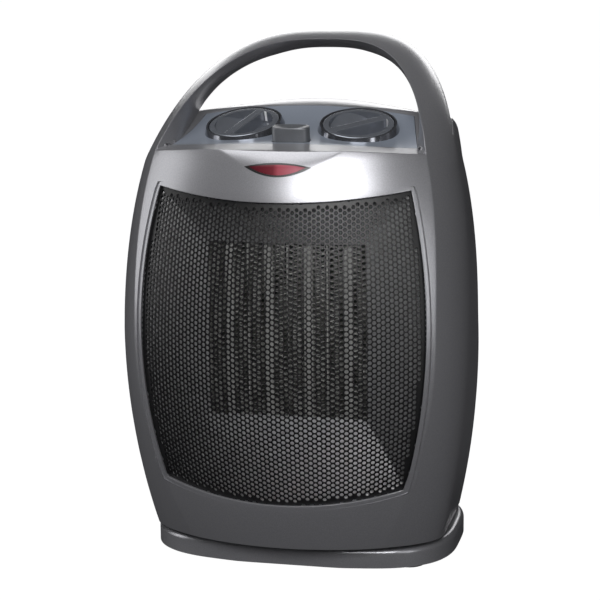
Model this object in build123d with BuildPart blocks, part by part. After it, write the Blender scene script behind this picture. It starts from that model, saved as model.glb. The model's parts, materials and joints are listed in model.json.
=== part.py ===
from build123d import *
import math
import os

os.makedirs("parts", exist_ok=True)

# ---------------------------------------------------------------------------
# Ceramic fan heater that swivels on its foot.  Millimetres, +Z up, front at -Y.
# The origin is on the floor, under the middle of the overall width and depth.
# ---------------------------------------------------------------------------

# Outer form of the housing
overall_depth = 147.0           # front of the grille to the back of the housing
grille_recess = 1.5             # the grille sits this far behind the front surface
wall = 2.5                      # housing wall
fit = 0.3                       # clearance between separate mouldings
housing_floor_z = 13.6          # underside of the housing
widest_z = 115.0                # height of the widest section
edge_half_width = 73.2          # front edge, where the front face meets the side band
edge_foot_half_width = 47.0
edge_crown_z = 251.3            # front edge at the crown of the handle
edge_exponent = 2.9             # squareness of the front edge's upper part
belly_half_width = 85.4         # widest outline
belly_foot_half_width = 72.6
belly_foot_power = 1.9          # how late the outline draws in towards the floor
belly_crown_z = 256.4
belly_side_exponent = 3.1       # squareness of the widest outline's upper part, in width
belly_rise_exponent = 2.33      # and in height
flare_depth = 25.9              # depth over which the side band flares out
draw_in_depth = 141.9           # half axis of the ellipse that draws the sides in behind that
draw_in_floor_y = 17.3          # the sides start to draw in here at the floor,
draw_in_widest_y = -13.9        # at the widest height,
draw_in_fold_y = -19.2          # at the fold
draw_in_crown_y = 28.3          # and at the crown of the handle
back_crown_drop = 1.8           # fall of the handle towards the back
crown_fall_y = 5.0              # and where that fall starts

# Front surface: an arc turned about an upright axis behind the front
front_plan_radius = 133.0
front_arc_radius = 265.0
front_arc_z = 108.0
back_plan_radius = 125.0
back_arc_radius = 1300.0
back_arc_z = 170.0

# Handle: leading edge sweeps back in an arc from the end of the fold
fold_y = -38.0
fold_z = 201.0
sweep_radius = 205.0
sweep_angle = 45.8
opening_half_width = 58.4
opening_base_z = 205.0
opening_crown_z = 245.5
opening_exponent = 2.4
mouth_half_width = 65.0         # opening at the leading edge
mouth_crown_z = 250.8
mouth_exponent = 2.35
mouth_depth = 22.0
handle_back_low = (2.0, 212.0)  # depth and height of two points of the handle's rear edge
handle_back_high = (60.0, 250.0)

# Top deck between the handle's feet
deck_front_y = -39.0            # in front of this the deck is straight
deck_front_z = 206.2            # height on the centre line there
deck_front_slope = 0.05
deck_dish_radius = 112.0        # hollow of the deck behind it
deck_crown = 0.0010             # fall to each side, per square millimetre
crest_start_y = 10.0
crest_slope = 0.25              # the deck still rises at its crest, in the middle
crest_end_y = 80.0
crest_end_z = 190.0
deck_side_x = 100.0             # section at the side that the deck's curve eases to
crest_side_slope = -0.6
crest_side_end_z = 145.0
deck_wall = 4.6
panel_thickness = 2.2
panel_corner_x = 60.0           # front and back corners of the control panel
panel_corner_y = -27.5
panel_back_x = 52.5
panel_back_corner_y = 6.5

parting_y = 24.0                # upright joint between the two halves of the housing

# Window and outlet
window_corner_x = 60.4
window_top_corner_z = 186.2
window_top_z = 181.3
window_half_width = 69.0
window_foot_corner_x = 58.6
window_foot_corner_z = 44.9
window_foot_z = 37.1
window_depth = 30.0
core_width = 77.4
core_height = 85.0
core_z = 117.4                  # middle of the heating core
core_front_y = -42.0
core_thickness = 15.0
duct_wall = 1.2
duct_lip = 2.2                  # the duct's rim lies behind the window's edge
duct_mouth_height = 131.0       # outlet duct where it meets the window's collar
duct_corner = 4.0
duct_throat_corner = 2.0

# Foot
swivel_y = 8.0                  # upright swivel axis
base_half_width = 76.3
base_half_depth = 54.0
base_exponent = 3.16
base_top_z = 11.4
base_wall = 2.0
skirt_z = 1.5

base_cover_thickness = 2.0
pad_height = 2.0                # rubber feet below the base cover
pad_radius = 8.0
pad_x = 56.0
pad_y = 34.0
post_radius = 9.0
bearing_fit = 0.05              # radial clearance of a shaft in its bearing
retainer_radius = 14.0
retainer_thickness = 1.5
glide_radius = 5.0
glide_reach = 34.0

# Oscillation drive: a crank pin works in a slot of the base
swivel_limit = 30.0
crank_distance = 28.0           # swivel axis to motor axis
crank_radius = 14.0
crank_pin_radius = 2.0
crank_thickness = 3.0
crank_lift = 2.3                # crank above the housing floor
drive_shaft_radius = 2.5
drive_motor_radius = 24.0
drive_motor_height = 18.0
drive_ear_radius = 4.5
drive_ear_thickness = 1.5
drive_motor_lift = 8.0

# Controls on the deck
dial_x = 28.3
dial_y = -10.0
dial_ring_radius = 20.7         # foot of the ring, sunk below the deck
dial_ring_sink = 3.0
dial_ring_top_radius = 18.6
dial_ring_height = 3.0
knob_radius = 17.2
knob_top = 3.0
knob_depth = 8.0
knob_gap = 0.5
scoop_radius = 14.4
scoop_depth = 5.5
knob_bar_width = 5.0            # finger bar left between the two scoops
thermostat_turn = 70.0          # the finger bars' turn from straight across
selector_turn = 41.0
knob_stem_radius = 3.0
control_body_width = 27.0
control_body_height = 13.0
control_plate_width = 34.0
control_plate_thickness = 1.2
control_post_radius = 1.9
control_post_inset = 0.8        # posts inside the edge of the control's plate
control_corner = 3.0            # corner radius of the control bodies
tab_width = 6.3                 # flat push-on terminals
tab_thickness = 0.8
tab_length = 7.0
button_y = -31.0
button_width = 18.0
button_length = 9.5
button_height = 7.0
button_corner = 3.75
button_skirt = 6.0              # length of the button below the deck
button_guide = 0.35             # clearance in the panel
button_edge = 1.0               # rounding of the button's top
button_travel = 3.0
switch_height = 9.0
switch_arm = 5.0                # the switch hangs from the panel by an arm at each end
switch_arm_thickness = 3.0
switch_bridge = 4.0
well_margin = 0.8               # housing opening around the controls under the panel
lens_width = 33.0
lens_height = 7.0
lens_lift = 0.6                 # lens above the foot of its facet
facet_half_width = 30.0
facet_foot_half_width = 15.5
facet_foot_z = 193.2
facet_depth = 3.0               # depth of the facet at the fold

# Heating core
cap_height = 8.0
fin_overlap = 3.0               # fins run this far behind the duct mouth, top and bottom
module_count = 4                # one heater bar between two fin packs makes a module
bar_width = 4.6
bar_thickness = 11.0
side_plate = 0.8
fin_pitch = 2.8
fin_sheet = 0.45
core_tab_x = 26.0
core_tab_length = 9.0
cutout_flange = 3.2             # heights and radius of the thermal cutout's two steps
cutout_cap = 2.4
cutout_cap_radius = 4.2

# Fan
shroud_wall = 1.6
shroud_margin = 12.0            # shroud wider than the core
fan_radius = 42.0
fan_tip_gap = 1.4
fan_hub_radius = 14.0
fan_front_y = -18.0
fan_depth = 14.0
blade_count = 7
blade_thickness = 1.6
root_angle = 38.0               # blade lean from the shaft's direction
tip_angle = 60.0
ring_back_y = -1.0
spider_thickness = 3.0
spider_arm_width = 7.0
shaft_radius = 2.0
rotor_radius = 14.0
rotor_gap = 0.5
stator_front_y = 11.0
stator_thickness = 16.0
stator_width = 58.0
stator_height = 62.0
bridge_thickness = 4.0
motor_leg_radius = 3.0
motor_leg_inset = 6.0           # legs inside the sides of the stator
bearing_radius = 9.0
stator_drop = 6.0               # the stator's middle lies this far below the shaft
coil_drop = 26.0
coil_width = 30.0
coil_height = 16.0
coil_reach = 6.0                # the coil stands out of the stator at both ends

# Back of the housing
louvre_count = 11
louvre_height = 3.6
louvre_pitch = 7.6
louvre_width = 66.0
gland_x = -44.0
gland_z = 30.0
gland_radius = 6.5
gland_bore_radius = 3.6
boss_x = 63.0
boss_low_z = 42.0
boss_high_z = 168.0
boss_radius = 4.6
boss_length = 40.0
screw_radius = 2.0
screw_head_radius = 3.8
screw_length = 26.0
screw_head = 2.4

panel_back_y = crest_start_y - fit
front_apex_y = -overall_depth / 2 - grille_recess
back_apex_y = overall_depth / 2
front_axis_y = front_apex_y + front_plan_radius
back_axis_y = back_apex_y - back_plan_radius
sweep_centre_y = fold_y + sweep_radius * math.sin(math.radians(sweep_angle))
sweep_centre_z = fold_z - sweep_radius * math.cos(math.radians(sweep_angle))


def front_y(x, z):
    """Depth of the front surface at a point of the front view."""
    sag = front_arc_radius - math.sqrt(front_arc_radius**2 - (z - front_arc_z) ** 2)
    radius = front_plan_radius - sag
    return front_axis_y - math.sqrt(radius**2 - x**2)


def edge_y(x, z):
    """Depth of the front edge: on the front surface, then on the handle's sweep."""
    if z <= fold_z:
        return front_y(x, z)
    return sweep_centre_y - math.sqrt(max(sweep_radius**2 - (z - sweep_centre_z) ** 2, 0))


def arch_point(turn, half_width, crown_z, side_exponent, rise_exponent, centre_z):
    """Point of a superellipse quarter, from the side (turn 0) to the crown (turn 1)."""
    if turn >= 1:
        return 0.0, crown_z
    angle = turn * math.pi / 2
    x = half_width * math.cos(angle) ** (2 / side_exponent)
    z = centre_z + (crown_z - centre_z) * math.sin(angle) ** (2 / rise_exponent)
    return x, z


def foot_point(drop, half_width, foot_half_width, power):
    """Point below the widest height; drop runs from 0 there to 1 at the floor."""
    x = half_width - (half_width - foot_half_width) * drop**power
    return x, widest_z - drop * (widest_z - housing_floor_z)


def draw_in_start(z):
    """Depth at which the sides start to draw in, for a height of the front edge."""
    stations = (
        (housing_floor_z, draw_in_floor_y),
        (widest_z, draw_in_widest_y),
        (fold_z, draw_in_fold_y),
        (edge_crown_z, draw_in_crown_y),
    )
    for (low_z, low_y), (high_z, high_y) in zip(stations, stations[1:]):
        if z <= high_z:
            return low_y + (high_y - low_y) * (z - low_z) / (high_z - low_z)
    return draw_in_crown_y


def blend(edge, back, y, depth):
    """Move from the front edge towards the back outline, easing over the depth."""
    share = (y - edge_y(*edge)) / depth
    share = min(max(share, -0.3), 1.0)
    ease = 2 * share - share**2
    return edge[0] + (back[0] - edge[0]) * ease, edge[1] + (back[1] - edge[1]) * ease


band_depths = (-80, -68, -57, -47, -38, -28, -18, -8, 3, 14, 25, 36, 47, 58, 68, 80)     # loft stations
band_turns = (0.0, 0.15, 0.32, 0.5, 0.68, 0.85, 1.0)
far = 300.0                     # well past the outside of the part


def band_points(y, inset):
    """Half outline of the housing across its depth at y, from foot to crown."""
    past = max(0.0, (y - crown_fall_y) / (back_apex_y - crown_fall_y))
    pairs = []
    for drop in (1.0, 0.66, 0.33):
        edge = foot_point(drop, edge_half_width, edge_foot_half_width, 2)
        back = foot_point(drop, belly_half_width, belly_foot_half_width, belly_foot_power)
        pairs.append((edge, back))
    for turn in band_turns:
        edge = arch_point(
            turn, edge_half_width, edge_crown_z, edge_exponent, edge_exponent, widest_z
        )
        back = arch_point(
            turn, belly_half_width, belly_crown_z, belly_side_exponent, belly_rise_exponent, widest_z
        )
        pairs.append((edge, back))
    points = []
    for edge, back in pairs:
        x, z = blend(edge, back, y, flare_depth)
        reach = max(0.0, y - draw_in_start(edge[1])) / draw_in_depth
        rise = max(0.0, z - widest_z) / (belly_crown_z - widest_z)
        x = x * math.sqrt(1 - reach**2) - inset
        z -= rise * (back_crown_drop * past**3 + inset)
        points.append((x if edge[0] > 0 else 0.0, z))
    return points


def opening_points(y):
    """Half outline of the finger opening at y, from the base line to the crown."""
    points = []
    for turn in band_turns:
        edge = arch_point(
            turn, mouth_half_width, mouth_crown_z, mouth_exponent, mouth_exponent, opening_base_z
        )
        back = arch_point(
            turn, opening_half_width, opening_crown_z, opening_exponent, opening_exponent,
            opening_base_z,
        )
        points.append(blend(edge, back, y, mouth_depth))
    return points


def section_sketch(y, points, bottom_z):
    """Closed symmetric outline through the half outline, standing at depth y."""
    plane = Plane(origin=(0, y, 0), x_dir=(1, 0, 0), z_dir=(0, -1, 0))
    with BuildSketch(plane) as sketch:
        with BuildLine():
            right = Spline(*points, tangents=[(0.15, 1), (-1, 0)])
            mirror(right, about=Plane.YZ)
            if points[0][1] > bottom_z:
                x, z = points[0]
                Polyline((x, z), (x, bottom_z), (-x, bottom_z), (-x, z))
            else:
                Line(points[0], (-points[0][0], points[0][1]))
        make_face()
    return sketch.sketch




def depth_plane(y):
    """Upright plane at depth y, seen from the front."""
    return Plane(origin=(0, y, 0), x_dir=(1, 0, 0), z_dir=(0, -1, 0))


def side_plane(x):
    """Upright plane across X: its own x runs along +Y and its y runs up."""
    return Plane(origin=(x, 0, 0), x_dir=(0, 1, 0), z_dir=(1, 0, 0))


def band_solid(inset):
    """The housing's side band with its handle, lofted from front to back."""
    with BuildPart() as band:
        for y in band_depths:
            add(section_sketch(y, band_points(y, inset), housing_floor_z))
        loft()
    return band.part


def opening_solid():
    """The finger opening under the handle, widening towards the leading edge."""
    with BuildPart() as opening:
        for y in band_depths:
            add(section_sketch(y, opening_points(y), front_arc_z))
        loft()
    return opening.part


def barrel(axis_y, apex_y, plan_radius, arc_radius, arc_z, inset):
    """Solid of revolution bounded by an arc, about an upright axis."""
    side = 1 if apex_y > axis_y else -1
    low_z, high_z = -5.0, 270.0

    def arc_y(z):
        sag = arc_radius - inset - math.sqrt((arc_radius - inset) ** 2 - (z - arc_z) ** 2)
        return axis_y + side * (plan_radius - inset - sag)

    with BuildPart() as solid:
        with BuildSketch(Plane.YZ):
            with BuildLine():
                ThreePointArc((arc_y(low_z), low_z), (arc_y(arc_z), arc_z), (arc_y(high_z), high_z))
                Polyline(
                    (arc_y(high_z), high_z), (axis_y, high_z), (axis_y, low_z), (arc_y(low_z), low_z)
                )
            make_face()
        revolve(axis=Axis((0, axis_y, 0), (0, 0, 1)))
    return solid.part


def front_barrel(inset):
    return barrel(
        front_axis_y, front_apex_y, front_plan_radius, front_arc_radius, front_arc_z, inset
    )


def back_barrel(inset):
    return barrel(back_axis_y, back_apex_y, back_plan_radius, back_arc_radius, back_arc_z, inset)


dish_angle = math.atan(deck_front_slope)
dish_centre_y = deck_front_y - deck_dish_radius * math.sin(dish_angle)
dish_centre_z = deck_front_z + deck_dish_radius * math.cos(dish_angle)


def deck_height(x, y):
    """Height of the top deck in front of its crest."""
    if y <= deck_front_y:
        middle = deck_front_z + deck_front_slope * (y - deck_front_y)
    else:
        middle = dish_centre_z - math.sqrt(deck_dish_radius**2 - (y - dish_centre_y) ** 2)
    return middle - deck_crown * x**2


def deck_frame(x, y):
    """Plane touching the deck at x, y, with its own x across the part."""
    rise = y - dish_centre_y
    slope = rise / math.sqrt(deck_dish_radius**2 - rise**2)
    normal = Vector(2 * deck_crown * x, -slope, 1)
    return Plane(origin=(x, y, deck_height(x, y)), x_dir=(1, 0, -2 * deck_crown * x), z_dir=normal)


def above_deck(drop):
    """Everything above the top deck, or above a surface that lies drop below it."""
    with BuildPart() as region:
        for x in (-deck_side_x, 0.0, deck_side_x):
            slope = crest_side_slope if x else crest_slope
            end_z = crest_side_end_z if x else crest_end_z
            start = (-far, deck_height(x, -far) - drop)
            front = (deck_front_y, deck_height(x, deck_front_y) - drop)
            middle_y = (deck_front_y + crest_start_y) / 2
            middle = (middle_y, deck_height(x, middle_y) - drop)
            crest = (crest_start_y, deck_height(x, crest_start_y) - drop)
            end = (crest_end_y, end_z - drop)
            with BuildSketch(side_plane(x)):
                with BuildLine():
                    Line(start, front)
                    ThreePointArc(front, middle, crest)
                    TangentArc(crest, end, tangent=(1, slope))
                    Polyline(end, (crest_end_y, far), (-far, far), start)
                make_face()
        loft()
    return region.part


def before_sweep():
    """Everything in front of the handle's swept leading edge."""
    steep = math.radians(sweep_angle)
    top_angle = math.radians(8)
    start = (fold_y, fold_z)
    middle_angle = (steep + top_angle) / 2
    middle = (
        sweep_centre_y - sweep_radius * math.sin(middle_angle),
        sweep_centre_z + sweep_radius * math.cos(middle_angle),
    )
    end = (
        sweep_centre_y - sweep_radius * math.sin(top_angle),
        sweep_centre_z + sweep_radius * math.cos(top_angle),
    )
    low = (fold_y - 60 * math.cos(steep), fold_z - 60 * math.sin(steep))
    with BuildPart() as region:
        with BuildSketch(Plane.YZ):
            with BuildLine():
                ThreePointArc(start, middle, end)
                Polyline(end, (end[0], far), (-far, far), (-far, low[1]), low, start)
            make_face()
        extrude(amount=far, both=True)
    return region.part


def behind_handle():
    """Everything behind the handle's rear face, which leans back."""
    lean = (handle_back_high[0] - handle_back_low[0]) / (handle_back_high[1] - handle_back_low[1])
    low_z, high_z = fold_z - far / 10, belly_crown_z + far / 10
    low = (handle_back_low[0] + lean * (low_z - handle_back_low[1]), low_z)
    high = (handle_back_low[0] + lean * (high_z - handle_back_low[1]), high_z)
    with BuildPart() as region:
        with BuildSketch(Plane.YZ):
            with BuildLine():
                Polyline(low, high, (far, high_z), (far, low_z), low)
            make_face()
        extrude(amount=far, both=True)
    return region.part


def window_solid(grow, start_y, end_y):
    """Prism through the window outline, grown by a margin."""
    with BuildPart() as prism:
        with BuildSketch(depth_plane(end_y)) as outline:
            with BuildLine():
                ThreePointArc(
                    (-window_corner_x, window_top_corner_z),
                    (0, window_top_z),
                    (window_corner_x, window_top_corner_z),
                )
                ThreePointArc(
                    (window_corner_x, window_top_corner_z),
                    (window_half_width, widest_z),
                    (window_foot_corner_x, window_foot_corner_z),
                )
                ThreePointArc(
                    (window_foot_corner_x, window_foot_corner_z),
                    (0, window_foot_z),
                    (-window_foot_corner_x, window_foot_corner_z),
                )
                ThreePointArc(
                    (-window_foot_corner_x, window_foot_corner_z),
                    (-window_half_width, widest_z),
                    (-window_corner_x, window_top_corner_z),
                )
            make_face()
            if grow:
                offset(amount=grow, kind=Kind.INTERSECTION)
        extrude(amount=end_y - start_y)
    return prism.part


def surface_shell(region, outer_inset, inner_inset):
    """Slice of the region that lies between two insets of the front surface."""
    with BuildPart() as piece:
        add(region)
        add(front_barrel(outer_inset), mode=Mode.INTERSECT)
        add(front_barrel(inner_inset), mode=Mode.SUBTRACT)
    return piece.part


# ---------------------------------------------------------------------------
# Housing: outer form, cavity and the two halves
# ---------------------------------------------------------------------------
with BuildPart() as handle_cut:
    add(before_sweep())
    add(opening_solid())
    add(behind_handle())
    add(above_deck(0), mode=Mode.INTERSECT)

with BuildPart() as outer_form:
    add(band_solid(0))
    add(front_barrel(0), mode=Mode.INTERSECT)
    add(back_barrel(0), mode=Mode.INTERSECT)
    add(handle_cut.part, mode=Mode.SUBTRACT)

with BuildPart() as cavity:
    add(band_solid(wall))
    add(front_barrel(wall), mode=Mode.INTERSECT)
    add(back_barrel(wall), mode=Mode.INTERSECT)
    add(above_deck(deck_wall), mode=Mode.SUBTRACT)
    with BuildSketch(Plane.XY):
        Rectangle(far, far)
    extrude(amount=housing_floor_z + wall, mode=Mode.SUBTRACT)



def panel_prism(grow):
    """Upright prism through the control panel's outline in plan, grown by a margin."""
    with BuildPart() as prism:
        with BuildSketch(Plane.XY.offset(front_arc_z)):
            with BuildLine():
                ThreePointArc(
                    (-panel_corner_x, panel_corner_y),
                    (0, deck_front_y),
                    (panel_corner_x, panel_corner_y),
                )
                Line((panel_corner_x, panel_corner_y), (panel_back_x, panel_back_corner_y))
                ThreePointArc(
                    (panel_back_x, panel_back_corner_y),
                    (0, panel_back_y),
                    (-panel_back_x, panel_back_corner_y),
                )
                Line((-panel_back_x, panel_back_corner_y), (-panel_corner_x, panel_corner_y))
            make_face()
            if grow:
                offset(amount=grow, kind=Kind.INTERSECTION)
        extrude(amount=far)
    return prism.part


def deck_slice(region, top_drop, bottom_drop):
    """Slice of the region that lies between two drops below the deck."""
    with BuildPart() as piece:
        add(region)
        add(above_deck(bottom_drop), mode=Mode.INTERSECT)
        add(above_deck(top_drop), mode=Mode.SUBTRACT)
    return piece.part


facet_top = (front_y(0, fold_z) + facet_depth, fold_z)
facet_foot = (front_y(0, facet_foot_z), facet_foot_z)
facet_tilt = math.atan2(facet_top[0] - facet_foot[0], facet_top[1] - facet_foot[1])
facet_plane = Plane(
    origin=(0, facet_foot[0], facet_foot[1]),
    x_dir=(1, 0, 0),
    z_dir=(0, -math.cos(facet_tilt), math.sin(facet_tilt)),
)


def lens_sketch(grow):
    """Pointed oval of the indicator lens, lying on the facet."""
    with BuildSketch(facet_plane.offset(-wall)) as sketch:
        with BuildLine():
            left = (-lens_width / 2 - grow, lens_height / 2 + lens_lift)
            right = (lens_width / 2 + grow, lens_height / 2 + lens_lift)
            ThreePointArc(left, (0, lens_height + lens_lift + grow), right)
            ThreePointArc(right, (0, lens_lift - grow), left)
        make_face()
    return sketch.sketch


left_dial = deck_frame(-dial_x, dial_y)
right_dial = deck_frame(dial_x, dial_y)
button_frame = deck_frame(0, button_y)
button_top = button_frame.offset(button_height)
control_drop = knob_depth + 4 * fit + control_plate_thickness
post_offset = control_plate_width / 2 - control_post_radius - control_post_inset
post_top = panel_thickness * 0.6        # posts start inside the panel

with BuildPart() as control_wells:
    for dial in (left_dial, right_dial):
        with BuildSketch(dial):
            Rectangle(control_plate_width + 2 * well_margin, control_plate_width + 2 * well_margin)
        extrude(amount=-6 * wall)
    with BuildSketch(button_frame):
        Rectangle(button_width + 2 * switch_arm, button_length + 5 * well_margin)
    extrude(amount=-6 * wall)

# Screw bosses stand inside the sides, halved by the joint between the halves
boss_centres = [(x, z) for z in (boss_low_z, boss_high_z) for x in (-boss_x, boss_x)]
boss_front_y = parting_y - boss_length
screw_tip_y = parting_y - screw_length * 0.6
screw_head_y = screw_tip_y + screw_length

with BuildPart() as bosses:
    for x, z in boss_centres:
        side = math.copysign(1, x)
        with BuildSketch(depth_plane(back_apex_y)):
            with Locations((x, z)):
                Circle(boss_radius)
            with Locations((x + side * belly_half_width / 4, z)):
                Rectangle(belly_half_width / 2, wall)
        extrude(amount=back_apex_y - boss_front_y)
    add(cavity.part, mode=Mode.INTERSECT)

with BuildPart() as screw_holes:
    with BuildSketch(depth_plane(screw_head_y)):
        with Locations(*boss_centres):
            Circle(screw_radius + bearing_fit)
    extrude(amount=screw_length + fit)
    with BuildSketch(depth_plane(back_apex_y + fit)):
        with Locations(*boss_centres):
            Circle(screw_head_radius + fit)
    extrude(amount=back_apex_y + fit - screw_head_y)

# Housing shell with its openings
crank_y = swivel_y - crank_distance
crank_orbit = crank_radius + crank_pin_radius

with BuildPart() as shell:
    add(outer_form.part)
    add(cavity.part, mode=Mode.SUBTRACT)
    add(bosses.part)
    add(window_solid(0, front_apex_y - wall, front_apex_y + window_depth), mode=Mode.SUBTRACT)
    add(deck_slice(panel_prism(fit), -wall, panel_thickness), mode=Mode.SUBTRACT)
    add(control_wells.part, mode=Mode.SUBTRACT)
    with BuildSketch(facet_plane):
        with BuildLine():
            Polyline(
                (-facet_foot_half_width, 0),
                (facet_foot_half_width, 0),
                (facet_half_width, 2 * lens_height),
                (-facet_half_width, 2 * lens_height),
                (-facet_foot_half_width, 0),
            )
        make_face()
    extrude(amount=4 * facet_depth, mode=Mode.SUBTRACT)
    add(lens_sketch(fit / 2))
    extrude(amount=4 * wall, both=True, mode=Mode.SUBTRACT)
    with BuildSketch(Plane.XY.offset(housing_floor_z)):
        with Locations((0, swivel_y)):
            Circle(post_radius + bearing_fit)
        with Locations((0, crank_y)):
            Circle(crank_orbit + fit)
    extrude(amount=wall, mode=Mode.SUBTRACT)
    with BuildSketch(depth_plane(back_apex_y)):
        with GridLocations(0, louvre_pitch, 1, louvre_count):
            with Locations((0, core_z)):
                SlotOverall(louvre_width, louvre_height)
        with Locations((gland_x, gland_z)):
            Circle(gland_radius)
    extrude(amount=2 * gland_radius + 2 * wall, mode=Mode.SUBTRACT)
    add(screw_holes.part, mode=Mode.SUBTRACT)

# The rear half is everything behind the joint, up to the deck; the handle stays with the front
with BuildPart() as rear_region:
    with BuildSketch(depth_plane(far)):
        Rectangle(2 * far, 2 * far)
    extrude(amount=far - parting_y)
    add(above_deck(0), mode=Mode.SUBTRACT)

with BuildPart() as front_housing:
    add(shell.part)
    add(rear_region.part, mode=Mode.SUBTRACT)

with BuildPart() as rear_housing:
    add(shell.part)
    add(rear_region.part, mode=Mode.INTERSECT)


def finish(part, name):
    """Label a finished piece and write it under its own name."""
    part.label = name
    export_step(part, f"parts/{name}.step")


finish(front_housing.part, "front_housing")
finish(rear_housing.part, "rear_housing")

# ---------------------------------------------------------------------------
# Front: grille, outlet duct, indicator and control panel
# ---------------------------------------------------------------------------
grille_region = window_solid(-fit / 2, front_apex_y - wall, front_apex_y + window_depth)
finish(surface_shell(grille_region, grille_recess, wall), "grille")

collar_y = front_y(window_corner_x, window_top_corner_z) - wall
duct_mouth_width = 2 * (window_corner_x - duct_lip)
shroud_width = core_width + shroud_margin

with BuildPart() as funnel_space:
    with BuildSketch(depth_plane(collar_y)):
        with Locations((0, core_z)):
            RectangleRounded(duct_mouth_width, duct_mouth_height, duct_corner)
    with BuildSketch(depth_plane(core_front_y)):
        with Locations((0, core_z)):
            RectangleRounded(core_width, core_height, duct_throat_corner)
    loft(ruled=True)

with BuildPart() as outlet_duct:
    add(window_solid(duct_lip, front_apex_y, collar_y))
    with BuildSketch(depth_plane(collar_y)):
        with Locations((0, core_z)):
            RectangleRounded(
                duct_mouth_width + 2 * duct_wall, duct_mouth_height + 2 * duct_wall, duct_corner
            )
    with BuildSketch(depth_plane(core_front_y)):
        with Locations((0, core_z)):
            RectangleRounded(
                core_width + 2 * duct_wall, core_height + 2 * duct_wall, duct_throat_corner
            )
    loft(ruled=True)
    add(front_barrel(wall), mode=Mode.INTERSECT)
    add(window_solid(-duct_lip, front_apex_y, collar_y - duct_wall), mode=Mode.SUBTRACT)
    add(funnel_space.part, mode=Mode.SUBTRACT)
    with BuildSketch(depth_plane(core_front_y)):
        with Locations((0, core_z)):
            Rectangle(shroud_width, duct_mouth_height)
            Rectangle(core_width, core_height, mode=Mode.SUBTRACT)
    extrude(amount=duct_wall)
finish(outlet_duct.part, "outlet_duct")

with BuildPart() as indicator_lens:
    add(lens_sketch(-fit / 2))
    extrude(amount=wall)
finish(indicator_lens.part, "indicator_lens")

lamp_radius = 3.0
lamp_length = 22.0
lamp_plane = facet_plane.offset(-wall - lamp_radius - fit)
with BuildPart() as indicator_lamp:
    with BuildSketch(
        Plane(
            origin=lamp_plane.from_local_coords((-lamp_length / 2, lens_height / 2, 0)),
            x_dir=lamp_plane.z_dir,
            z_dir=(1, 0, 0),
        )
    ):
        Circle(lamp_radius)
    extrude(amount=lamp_length)
finish(indicator_lamp.part, "indicator_lamp")

with BuildPart() as control_panel:
    add(deck_slice(panel_prism(0), 0, panel_thickness))
    for dial in (left_dial, right_dial):
        with BuildSketch(dial.offset(wall)):
            Circle(knob_radius + knob_gap)
        extrude(amount=-4 * wall, mode=Mode.SUBTRACT)
        with BuildSketch(dial.offset(-post_top)):
            with GridLocations(2 * post_offset, 2 * post_offset, 2, 2):
                Circle(control_post_radius)
        extrude(amount=-(control_drop - control_plate_thickness - post_top))
    with BuildSketch(button_top):
        RectangleRounded(
            button_width + 2 * button_guide, button_length + 2 * button_guide,
            button_corner + button_guide,
        )
    extrude(amount=-4 * button_height, mode=Mode.SUBTRACT)
finish(control_panel.part, "control_panel")

for side, dial in (("left", left_dial), ("right", right_dial)):
    with BuildPart() as dial_ring:
        with BuildSketch(dial.offset(-dial_ring_sink)):
            Circle(dial_ring_radius)
        with BuildSketch(dial.offset(dial_ring_height)):
            Circle(dial_ring_top_radius)
        loft()
        with BuildSketch(dial.offset(dial_ring_height)):
            Circle(knob_radius + knob_gap)
        extrude(amount=-(dial_ring_height + dial_ring_sink), mode=Mode.SUBTRACT)
        add(deck_slice(panel_prism(far / 10), 0, far / 10), mode=Mode.SUBTRACT)
    finish(dial_ring.part, f"dial_ring_{side}")

# Knobs: a flush disc with two scoops that leave a finger bar between them.  Each scoop drops
# straight down beside the bar, and its floor curves up to the rim.
knobs = {
    "thermostat_knob": (left_dial, thermostat_turn),
    "selector_knob": (right_dial, selector_turn),
}
for name, (dial, turn) in knobs.items():
    face = dial.offset(knob_top).rotated((0, 0, turn))
    half_bar = knob_bar_width / 2
    with BuildPart() as scoops:
        with BuildSketch(Plane(origin=face.origin, x_dir=face.y_dir, z_dir=face.x_dir)):
            with BuildLine():
                TangentArc((half_bar, -scoop_depth), (scoop_radius, 0), tangent=(1, 0))
                Polyline(
                    (scoop_radius, 0), (scoop_radius, fit), (half_bar, fit), (half_bar, -scoop_depth)
                )
            make_face()
            mirror(about=Plane.YZ)
        extrude(amount=scoop_radius, both=True)
        with BuildSketch(face):
            Circle(scoop_radius)
        extrude(amount=2 * scoop_depth, both=True, mode=Mode.INTERSECT)
    with BuildPart() as knob:
        with BuildSketch(dial.offset(knob_top)):
            Circle(knob_radius)
        extrude(amount=-(knob_top + knob_depth))
        add(scoops.part, mode=Mode.SUBTRACT)
        with BuildSketch(dial.offset(-knob_depth)):
            Circle(knob_stem_radius)
        extrude(amount=-(control_drop - knob_depth + control_body_height / 2))
    finish(knob.part, name)

control_bodies = {"thermostat": left_dial, "rotary_switch": right_dial}
for name, dial in control_bodies.items():
    with BuildPart() as control:
        with BuildSketch(dial.offset(control_plate_thickness - control_drop)):
            RectangleRounded(control_plate_width, control_plate_width, control_corner)
        extrude(amount=-control_plate_thickness)
        with BuildSketch(dial.offset(-control_drop)):
            RectangleRounded(control_body_width, control_body_width, control_corner)
        extrude(amount=-control_body_height)
        with BuildSketch(dial.offset(-control_drop - control_body_height)):
            with GridLocations(control_body_width / 3, 0, 3, 1):
                Rectangle(tab_width, tab_thickness)
        extrude(amount=-tab_length)
        with BuildSketch(dial):
            Circle(knob_stem_radius + bearing_fit)
        extrude(amount=-(control_drop + control_body_height / 2 + fit), mode=Mode.SUBTRACT)
    finish(control.part, name)

# Push button that engages the swivel drive, and the switch under it
with BuildPart() as oscillation_button:
    with BuildSketch(button_top):
        RectangleRounded(button_width, button_length, button_corner)
    extrude(amount=-(button_height + button_skirt))
    fillet(oscillation_button.faces().sort_by(Axis.Z)[-1].edges(), button_edge)
finish(oscillation_button.part, "oscillation_button")

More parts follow.
